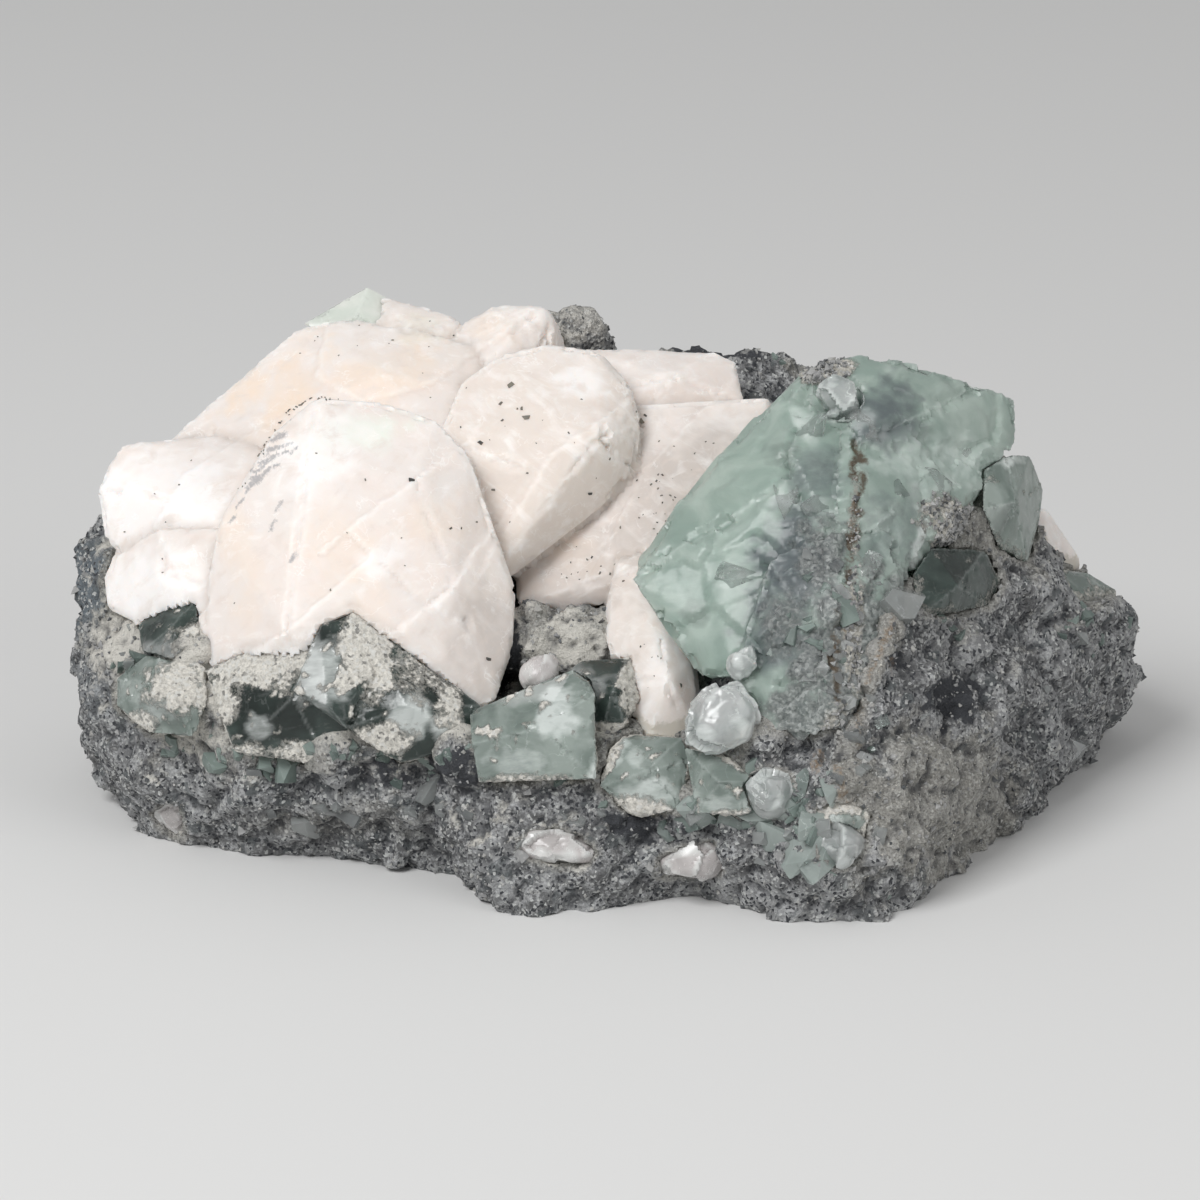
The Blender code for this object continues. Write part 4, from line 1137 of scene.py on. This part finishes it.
def grain_set(number, corners, seed):
    """The points and triangles of a few different tiny grains: the hulls of four or six loose corners."""
    draw = np.random.default_rng(seed)
    ways = {4: [(1, 1, 1), (1, -1, -1), (-1, 1, -1), (-1, -1, 1)], 6: [*np.eye(3), *-np.eye(3)]}[corners]
    found = []
    for _ in range(number):
        mesh = bpy.data.meshes.new("grain")
        spots = np.array(ways, float) + draw.normal(0, 0.25, (corners, 3))
        mesh.from_pydata((0.5 * spots / np.linalg.norm(ways[0])).tolist(), [], [])
        grain = bpy.data.objects.new("grain", mesh)
        bpy.context.scene.collection.objects.link(grain)
        select_only(grain)
        bpy.ops.object.mode_set(mode="EDIT")
        bpy.ops.mesh.select_all(action="SELECT")
        bpy.ops.mesh.convex_hull(join_triangles=False)
        bpy.ops.object.mode_set(mode="OBJECT")
        found.append((points_of(mesh), np.array([tuple(face.vertices) for face in mesh.polygons])))
        bpy.data.objects.remove(grain)
    return found


def shard_set(number, cuts, flat, seed, long=1.0):
    """The points and triangles of a few different shards."""
    found = []
    for turn in range(number):
        shard = cut_shard(f"shard_{turn}", cuts, flat, seed + turn, long)
        corners = [tuple(face.vertices) for face in shard.data.polygons]
        found.append((points_of(shard.data), np.array(corners)))
        bpy.data.objects.remove(shard)
    return found


def spots_on(piece, count, draw, weights=None):
    """Random places on the surface of a piece and the surface's direction there, more where the weight is high."""
    mesh = piece.data
    mesh.calc_loop_triangles()
    corners = np.empty(len(mesh.loop_triangles) * 3, np.int32)
    mesh.loop_triangles.foreach_get("vertices", corners)
    corners = corners.reshape(-1, 3)
    points = points_of(mesh)
    first, second, third = (points[corners[:, number]] for number in range(3))
    across = np.cross(second - first, third - first)
    area = np.linalg.norm(across, axis=1)
    chance = area if weights is None else area * weights[corners].mean(axis=1)
    picked = draw.choice(len(corners), count, p=chance / chance.sum())
    one, two = draw.random((2, count, 1))
    over = one + two > 1
    one, two = np.where(over, 1 - one, one), np.where(over, 1 - two, two)
    places = first[picked] + one * (second - first)[picked] + two * (third - first)[picked]
    return places, across[picked] / np.maximum(area[picked, None], 1e-20)


def open_to_air(places, facings, tree, reach):
    """Which places have no crystal just above them."""
    free = [
        tree.ray_cast(Vector(spot) + Vector(facing) * 0.02 * MM, Vector(facing), reach)[0] is None
        for spot, facing in zip(places.tolist(), facings.tolist())
    ]
    return np.array(free, bool)


def random_turns(count, draw):
    """Random rotations, as matrices."""
    w, x, y, z = (draw.normal(size=(4, count)))
    length = np.sqrt(w * w + x * x + y * y + z * z)
    w, x, y, z = w / length, x / length, y / length, z / length
    return np.array([
        [1 - 2 * (y * y + z * z), 2 * (x * y - z * w), 2 * (x * z + y * w)],
        [2 * (x * y + z * w), 1 - 2 * (x * x + z * z), 2 * (y * z - x * w)],
        [2 * (x * z - y * w), 2 * (y * z + x * w), 1 - 2 * (x * x + y * y)],
    ]).transpose(2, 0, 1)


def turns_along(facings, draw):
    """Rotations that lay each shard's short side along the surface's direction, turned at random about it."""
    guide = draw.normal(size=facings.shape)
    side = np.cross(facings, guide)
    side /= np.linalg.norm(side, axis=1)[:, None]
    return np.stack((side, np.cross(facings, side), facings), axis=2)


def strew(name, shards, places, turns, sizes, shades):
    """One mesh of many shards, each at its place, with a shade of its own."""
    points, faces, tones = [], [], []
    total = 0
    for number, (form, corners) in enumerate(shards):
        mine = np.arange(len(places)) % len(shards) == number
        spots = np.einsum("nij,vj->nvi", turns[mine], form) * sizes[mine, None, None] + places[mine, None]
        shift = total + np.arange(len(spots))[:, None, None] * len(form)
        points.append(spots.reshape(-1, 3))
        faces.append((corners[None] + shift).reshape(-1, 3))
        tones.append(np.repeat(shades[mine], len(form)))
        total += len(spots) * len(form)
    points, faces, tones = np.concatenate(points), np.concatenate(faces), np.concatenate(tones)
    points[:, 2] = np.maximum(points[:, 2], 0)
    mesh = bpy.data.meshes.new(name)
    mesh.vertices.add(len(points))
    mesh.vertices.foreach_set("co", points.astype(np.float32).ravel())
    mesh.loops.add(faces.size)
    mesh.loops.foreach_set("vertex_index", faces.astype(np.int32).ravel())
    mesh.polygons.add(len(faces))
    mesh.polygons.foreach_set("loop_start", np.arange(0, faces.size, 3, dtype=np.int32))
    mesh.update(calc_edges=True)
    paint(mesh, "shade", tones)
    piece = bpy.data.objects.new(name, mesh)
    bpy.context.scene.collection.objects.link(piece)
    return piece


def crystal_nodes():
    return [obj for name, obj in frame["nodes"].items() if name != "matrix"]


def make_grains(settings):
    """Grains of three kinds all over the rock and over the crusted parts of the crystals."""
    rock = bpy.data.objects["rock"]
    mass = bpy.data.objects["fluorite_mass_surface"]
    tree = tree_of(crystal_nodes())
    draw = np.random.default_rng(7)
    plain = grain_set(8, 6, 100)
    kinds = {
        "grains_grey": (1.0, 1.0, "mineral grains", (0.12, 0.122, 0.13), (0.42, 0.42, 0.41), 0.5, 0.0, 0.0),
        "grains_pale": (0.5, 0.85, "pale grains", (0.33, 0.33, 0.32), (0.55, 0.545, 0.52), 0.4, 0.2, 9.0),
        "grains_dark": (0.6, 0.9, "dark grains", (0.03, 0.033, 0.036), (0.13, 0.137, 0.142), 0.35, 0.0, -9.0),
    }
    points = points_of(rock.data)
    open_share = 0.15 + 0.85 * (1 - values_of(rock.data, "hollow_shade"))
    patchy = noise_at(points, 5, 31) + 0.6 * noise_at(points, 2, 32)
    crusted = values_of(mass.data, "crust") ** 2
    for name, (share, size, finish, dark, pale, roughness, clear, leaning) in kinds.items():
        count = int(settings.grain_count * share)
        weights = open_share * (1 if leaning == 0 else ease(np.sign(leaning) * patchy, -0.5, 0.5) + 0.1)
        places, facings = spots_on(rock, count, draw, weights)
        keep = open_to_air(places, facings, tree, 1.2 * MM) & ~((places[:, 2] < 0.5 * MM) & (facings[:, 2] < -0.5))
        more_places, more_facings = spots_on(mass, int(1500 * share), draw, crusted)
        places = np.concatenate((places[keep], more_places))
        sizes = settings.grain * 1.25 * size * np.exp(draw.normal(0, 0.4, len(places)))
        shades = 0.5 + 0.45 * noise_at(places, 2.6, 33) + 0.3 * (draw.random(len(places)) - 0.5)
        piece = strew(name, plain, places, random_turns(len(places), draw), sizes, shades)
        finish_piece(piece, [], grain_material(finish, dark, pale, roughness, clear))


def make_fragments(finishes):
    """Larger broken crystals, half sunk in the rock and in the crusted ridge."""
    draw = np.random.default_rng(17)
    shards = shard_set(8, 6, 0.85, 400)
    ground = tree_of([bpy.data.objects["rock"], bpy.data.objects["fluorite_mass_surface"]])
    crystals = tree_of(crystal_nodes())
    for (name, fields), finish in zip(FRAGMENT_FIELDS.items(), finishes):
        places, facings = spots_on(bpy.data.objects["rock"], FRAGMENTS_AROUND, draw)
        keep = open_to_air(places, facings, crystals, 3 * MM) & (places[:, 2] > 2 * MM)
        places, facings = list(places[keep]), list(facings[keep])
        around = len(places)
        for patch, count in fields:
            for _ in range(count):
                right, high = draw.normal(0, 0.55, 2)
                spot, facing, _ = shown_at(ground, patch.across + right * patch.wide, patch.up + high * patch.high)
                if spot is not None and facing.dot(VIEW_ALONG) < -0.3:
                    places.append(np.array(spot))
                    facings.append(np.array(facing))
        usual = np.where(np.arange(len(places)) < around, FRAGMENT_SIZE, FIELD_SIZE) * MM
        sizes = usual * np.exp(draw.normal(0, 0.4, len(places)))
        places = np.array(places) - np.array(facings) * (FRAGMENT_SUNK * sizes[:, None])
        piece = strew(name, shards, places, random_turns(len(places), draw), sizes, draw.random(len(places)))
        finish_piece(piece, [], finish)


def make_bits(name, bits, finish):
    """Single, flat-lying bits of crystal on the large fluorite and on the rock."""
    draw = np.random.default_rng(19)
    ground = tree_of([bpy.data.objects["rock"], bpy.data.objects["fluorite_mass_surface"]])
    found = [shown_at(ground, across, up)[:2] for across, up, _ in bits]
    sizes = np.array([size for _, _, size in bits]) * MM
    places, facings = (np.array([tuple(pair[number]) for pair in found]) for number in range(2))
    places = places - facings * (0.12 * sizes[:, None])
    turns = turns_along(facings, draw)
    piece = strew(name, shard_set(8, 9, 0.42, 500, 1.3), places, turns, 0.85 * sizes, draw.random(len(places)))
    finish_piece(piece, [], finish)


def make_sand(settings):
    """Fine beige sand where the marks say so, on the rock and on the crystals."""
    draw = np.random.default_rng(11)
    shards = grain_set(6, 4, 200)
    tree = tree_of(crystal_nodes())
    places, facings = [], []
    for obj in bpy.data.objects:
        if obj.type != "MESH" or "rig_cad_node" in obj:
            continue
        name = "sand" if obj.name == "rock" else "crust"
        if name not in obj.data.attributes:
            continue
        weights = values_of(obj.data, name) ** 2
        if weights.sum() < 1:
            continue
        count = int(min(9000, weights.sum() * (0.20 if obj.name == "rock" else 0.11)))
        spots, ways = spots_on(obj, count, draw, weights)
        if obj.name == "rock":
            keep = open_to_air(spots, ways, tree, 1.2 * MM) & (spots[:, 2] > 0.5 * MM)
            spots, ways = spots[keep], ways[keep]
        places.append(spots)
        facings.append(ways)
    places, facings = np.concatenate(places), np.concatenate(facings)
    sizes = settings.grain * 0.65 * np.exp(draw.normal(0, 0.3, len(places)))
    piece = strew("sand", shards, places, random_turns(len(places), draw), sizes, draw.random(len(places)))
    pale = tuple(min(1, 1.3 * c) for c in settings.sand)
    dark = tuple(0.6 * c for c in settings.sand)
    finish_piece(piece, [], grain_material("beige sand", dark, pale, 0.75, 0.0))


def make_flakes():
    """Dark flakes and specks that lie on the white crystals."""
    draw = np.random.default_rng(13)
    shards = shard_set(4, 5, 0.25, 300, 1.35)
    calcite = bpy.data.objects["calcite_crystals_surface"]
    tree = tree_of([calcite])
    wanted = list(FLAKES)
    for patch, count in SPECK_FIELDS:
        for _ in range(count):
            right, high = draw.normal(0, 0.5, 2)
            wanted.append((patch.across + right * patch.wide, patch.up + high * patch.high, draw.uniform(0.07, 0.2)))
    for start, end in zip(np.array(SPECKLED_RIM[:-1]), np.array(SPECKLED_RIM[1:])):
        for share in draw.random(10):
            wanted.append((*(start + share * (end - start) + draw.normal(0, 0.15, 2)), draw.uniform(0.08, 0.22)))
    places, facings, sizes = [], [], []
    for across, up, size in wanted:
        spot, facing, _ = shown_at(tree, across, up)
        if spot is not None:
            places.append(spot)
            facings.append(facing)
            sizes.append(size * 1.6 * MM)
    places, facings, sizes = np.array(places), np.array(facings), np.array(sizes)
    piece = strew("flakes", shards, places, turns_along(facings, draw), sizes, draw.random(len(places)))
    finish_piece(piece, [], flake_material())


class SPECIMEN_OT_rock(Operator):
    """Make the granular rock that carries the crystals"""

    bl_idname = "specimen.rock"
    bl_label = "Rock"

    def execute(self, context):
        piece = copy_of("matrix", "rock")
        shape_rock(piece)
        finish_piece(piece, ["matrix"], rock_material(context.scene.specimen_rock), 30)
        return {"FINISHED"}


class SPECIMEN_OT_calcite(Operator):
    """Make the white calcite crystals"""

    bl_idname = "specimen.calcite"
    bl_label = "Calcite crystals"

    def execute(self, context):
        finish = calcite_material(context.scene.specimen_calcite)
        for name in CALCITE_NODES:
            piece = copy_of(name, name + "_surface")
            shape_calcite(piece)
            finish_piece(piece, [name], finish, 35)
        return {"FINISHED"}


class SPECIMEN_OT_fluorite(Operator):
    """Make the large fluorite and the other pale green crystals"""

    bl_idname = "specimen.fluorite"
    bl_label = "Pale fluorite"

    def execute(self, context):
        settings = context.scene.specimen_fluorite
        sand = context.scene.specimen_rock.sand
        finish = crystal_material(
            "milky fluorite", settings.pale, settings.deep, 0.5, 1.434, 0.27, (0.62, 0.84, 0.74), settings.density, sand,
            3.0, 0.15,
        )
        piece = copy_of("fluorite_mass", "fluorite_mass_surface")
        shape_mass(piece)
        finish_piece(piece, ["fluorite_mass"], finish, 22)
        grey_green = crystal_material(
            "grey-green fluorite", (0.48, 0.55, 0.51), (0.26, 0.32, 0.29), 0.45, 1.434, 0.12, (0.62, 0.76, 0.69),
            settings.density * 1.6, context.scene.specimen_rock.dust,
        )
        whitish = crystal_material(
            "whitish fluorite", (0.86, 0.875, 0.82), (0.75, 0.80, 0.735), 0.25, 1.434, 0.2, (0.8, 0.86, 0.8),
            settings.density, sand,
        )
        for name in PALE_FLUORITE_NODES:
            piece = copy_of(name, name + "_surface")
            shape_block(piece, BLOCK_MESH, 1.0, DUSTY.get(name, 1.0))
            finish_piece(piece, [name], whitish if name == "fluorite_summit" else grey_green, 25)
        return {"FINISHED"}


class SPECIMEN_OT_dark_fluorite(Operator):
    """Make the dark, dusted fluorite crystals"""

    bl_idname = "specimen.dark_fluorite"
    bl_label = "Dark fluorite"

    def execute(self, context):
        settings = context.scene.specimen_fluorite
        finish = crystal_material(
            "dark fluorite", tuple(1.9 * c for c in settings.dark), settings.dark, 0.35, 1.434, 0.1, (0.45, 0.60, 0.53),
            settings.density * 4, context.scene.specimen_rock.dust, 1.0, 0.1,
        )
        for name in DARK_FLUORITE_NODES:
            piece = copy_of(name, name + "_surface")
            shape_block(piece, BLOCK_MESH, 0.7, DUSTY.get(name, 1.0))
            finish_piece(piece, [name], finish, 25)
        return {"FINISHED"}


class SPECIMEN_OT_quartz(Operator):
    """Make the clear, rounded crystals"""

    bl_idname = "specimen.quartz"
    bl_label = "Quartz"

    def execute(self, context):
        finish = crystal_material(
            "clear quartz", (0.92, 0.945, 0.935), (0.62, 0.67, 0.66), 0.65, 1.54, 0.08, (0.9, 0.95, 0.93), 15,
            context.scene.specimen_rock.sand, 1.0, 0.6,
        )
        for name in QUARTZ_NODES:
            piece = copy_of(name, name + "_surface")
            shape_pebble(piece)
            finish_piece(piece, [name], finish, 30)
        return {"FINISHED"}


class SPECIMEN_OT_small_calcite(Operator):
    """Make the small, pale calcites in the rock"""

    bl_idname = "specimen.small_calcite"
    bl_label = "Small calcites"

    def execute(self, context):
        finish = crystal_material(
            "pale calcite", (0.78, 0.74, 0.73), (0.58, 0.55, 0.54), 0.3, 1.55, 0.22, (0.9, 0.86, 0.83), 60,
            context.scene.specimen_rock.sand,
        )
        for name in PEBBLE_NODES:
            piece = copy_of(name, name + "_surface")
            shape_pebble(piece)
            finish_piece(piece, [name], finish, 30)
        return {"FINISHED"}


class SPECIMEN_OT_grains(Operator):
    """Strew the rock's grains, the beige sand and the dark flakes"""

    bl_idname = "specimen.grains"
    bl_label = "Grains, sand and flakes"

    def execute(self, context):
        settings = context.scene.specimen_rock
        make_grains(settings)
        make_sand(settings)
        make_flakes()
        return {"FINISHED"}


class SPECIMEN_OT_fragments(Operator):
    """Set larger broken crystals in the rock and on the ridge"""

    bl_idname = "specimen.fragments"
    bl_label = "Broken crystals in the rock"

    def execute(self, context):
        sand = context.scene.specimen_rock.sand
        make_fragments([
            crystal_material(
                "broken green fluorite", (0.32, 0.39, 0.36), (0.09, 0.125, 0.115), 0.4, 1.434, 0.12, (0.62, 0.76, 0.69),
                120, sand,
            ),
            crystal_material(
                "broken clear crystal", (0.66, 0.69, 0.68), (0.30, 0.32, 0.33), 0.7, 1.54, 0.1, (0.85, 0.88, 0.87),
                60, sand,
            ),
        ])
        white = crystal_material(
            "white clear crystal", (0.90, 0.93, 0.92), (0.58, 0.66, 0.635), 0.85, 1.5, 0.1, (0.86, 0.92, 0.90), 20,
            sand, 1.0, 0.6,
        )
        make_bits("bits_clear", CLEAR_BITS, white)
        green = crystal_material(
            "translucent grey-green crystal", (0.56, 0.63, 0.60), (0.27, 0.33, 0.31), 0.5, 1.434, 0.14,
            (0.62, 0.76, 0.69), 60, sand, 1.0, 0.5,
        )
        make_bits("bits_green", GREEN_BITS, green)
        return {"FINISHED"}


class SPECIMEN_OT_stage(Operator):
    """Set the floor, the soft studio light and the camera"""

    bl_idname = "specimen.stage"
    bl_label = "Floor, light and camera"

    def execute(self, context):
        settings = context.scene.specimen_stage
        bpy.ops.object.select_all(action="DESELECT")
        bpy.ops.mesh.primitive_plane_add(size=8)
        floor = context.object
        floor.name = "studio_floor"
        floor.data.materials.append(floor_material(settings))
        for name, spot, size, power in (
            ("key", (-0.55, -0.75, 0.95), 0.6, settings.key),
            ("fill", (0.9, -0.8, 0.5), 0.8, settings.fill),
        ):
            data = bpy.data.lights.new(name, "AREA")
            data.size = size
            data.energy = power
            light = bpy.data.objects.new(name, data)
            light.location = spot
            light.rotation_euler = (VIEW_AIM * MM - Vector(spot)).to_track_quat("-Z", "Y").to_euler()
            context.scene.collection.objects.link(light)
        world = bpy.data.worlds.new("room")
        world.use_nodes = True
        world.node_tree.nodes["Background"].inputs["Color"].default_value = (1, 1, 1, 1)
        world.node_tree.nodes["Background"].inputs["Strength"].default_value = settings.sky
        context.scene.world = world
        context.scene.view_settings.view_transform = "Standard"
        data = bpy.data.cameras.new("front")
        data.lens = VIEW_LENS
        data.sensor_width = VIEW_SENSOR
        data.clip_start = 0.01
        camera = bpy.data.objects.new("front", data)
        camera.location = eye()
        camera.rotation_euler = VIEW_ALONG.to_track_quat("-Z", "Y").to_euler()
        context.scene.collection.objects.link(camera)
        context.scene.camera = camera
        return {"FINISHED"}


STEPS = (
    SPECIMEN_OT_rock, SPECIMEN_OT_calcite, SPECIMEN_OT_fluorite, SPECIMEN_OT_dark_fluorite, SPECIMEN_OT_quartz,
    SPECIMEN_OT_small_calcite, SPECIMEN_OT_grains, SPECIMEN_OT_fragments, SPECIMEN_OT_stage,
)
SETTINGS = {
    "specimen_rock": RockSettings, "specimen_calcite": CalciteSettings, "specimen_fluorite": FluoriteSettings,
    "specimen_stage": StageSettings,
}


class SPECIMEN_PT_panel(Panel):
    """The steps that make the specimen, and their settings"""

    bl_idname = "SPECIMEN_PT_panel"
    bl_label = "Specimen"
    bl_space_type = "VIEW_3D"
    bl_region_type = "UI"
    bl_category = "Specimen"

    def draw(self, context):
        for step in STEPS:
            self.layout.operator(step.bl_idname)
        for name, group in SETTINGS.items():
            box = self.layout.box()
            for setting in group.__annotations__:
                box.prop(getattr(context.scene, name), setting)


def register():
    for group in SETTINGS.values():
        bpy.utils.register_class(group)
    for step in STEPS:
        bpy.utils.register_class(step)
    bpy.utils.register_class(SPECIMEN_PT_panel)
    for name, group in SETTINGS.items():
        setattr(bpy.types.Scene, name, PointerProperty(type=group))


def unregister():
    for name in SETTINGS:
        delattr(bpy.types.Scene, name)
    bpy.utils.unregister_class(SPECIMEN_PT_panel)
    for step in reversed(STEPS):
        bpy.utils.unregister_class(step)
    for group in reversed(SETTINGS.values()):
        bpy.utils.unregister_class(group)


def main():
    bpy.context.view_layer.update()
    register()
    bpy.ops.specimen.rock()
    bpy.ops.specimen.calcite()
    bpy.ops.specimen.fluorite()
    bpy.ops.specimen.dark_fluorite()
    bpy.ops.specimen.quartz()
    bpy.ops.specimen.small_calcite()
    bpy.ops.specimen.grains()
    bpy.ops.specimen.fragments()
    bpy.ops.specimen.stage()


if __name__ == "__main__":
    main()
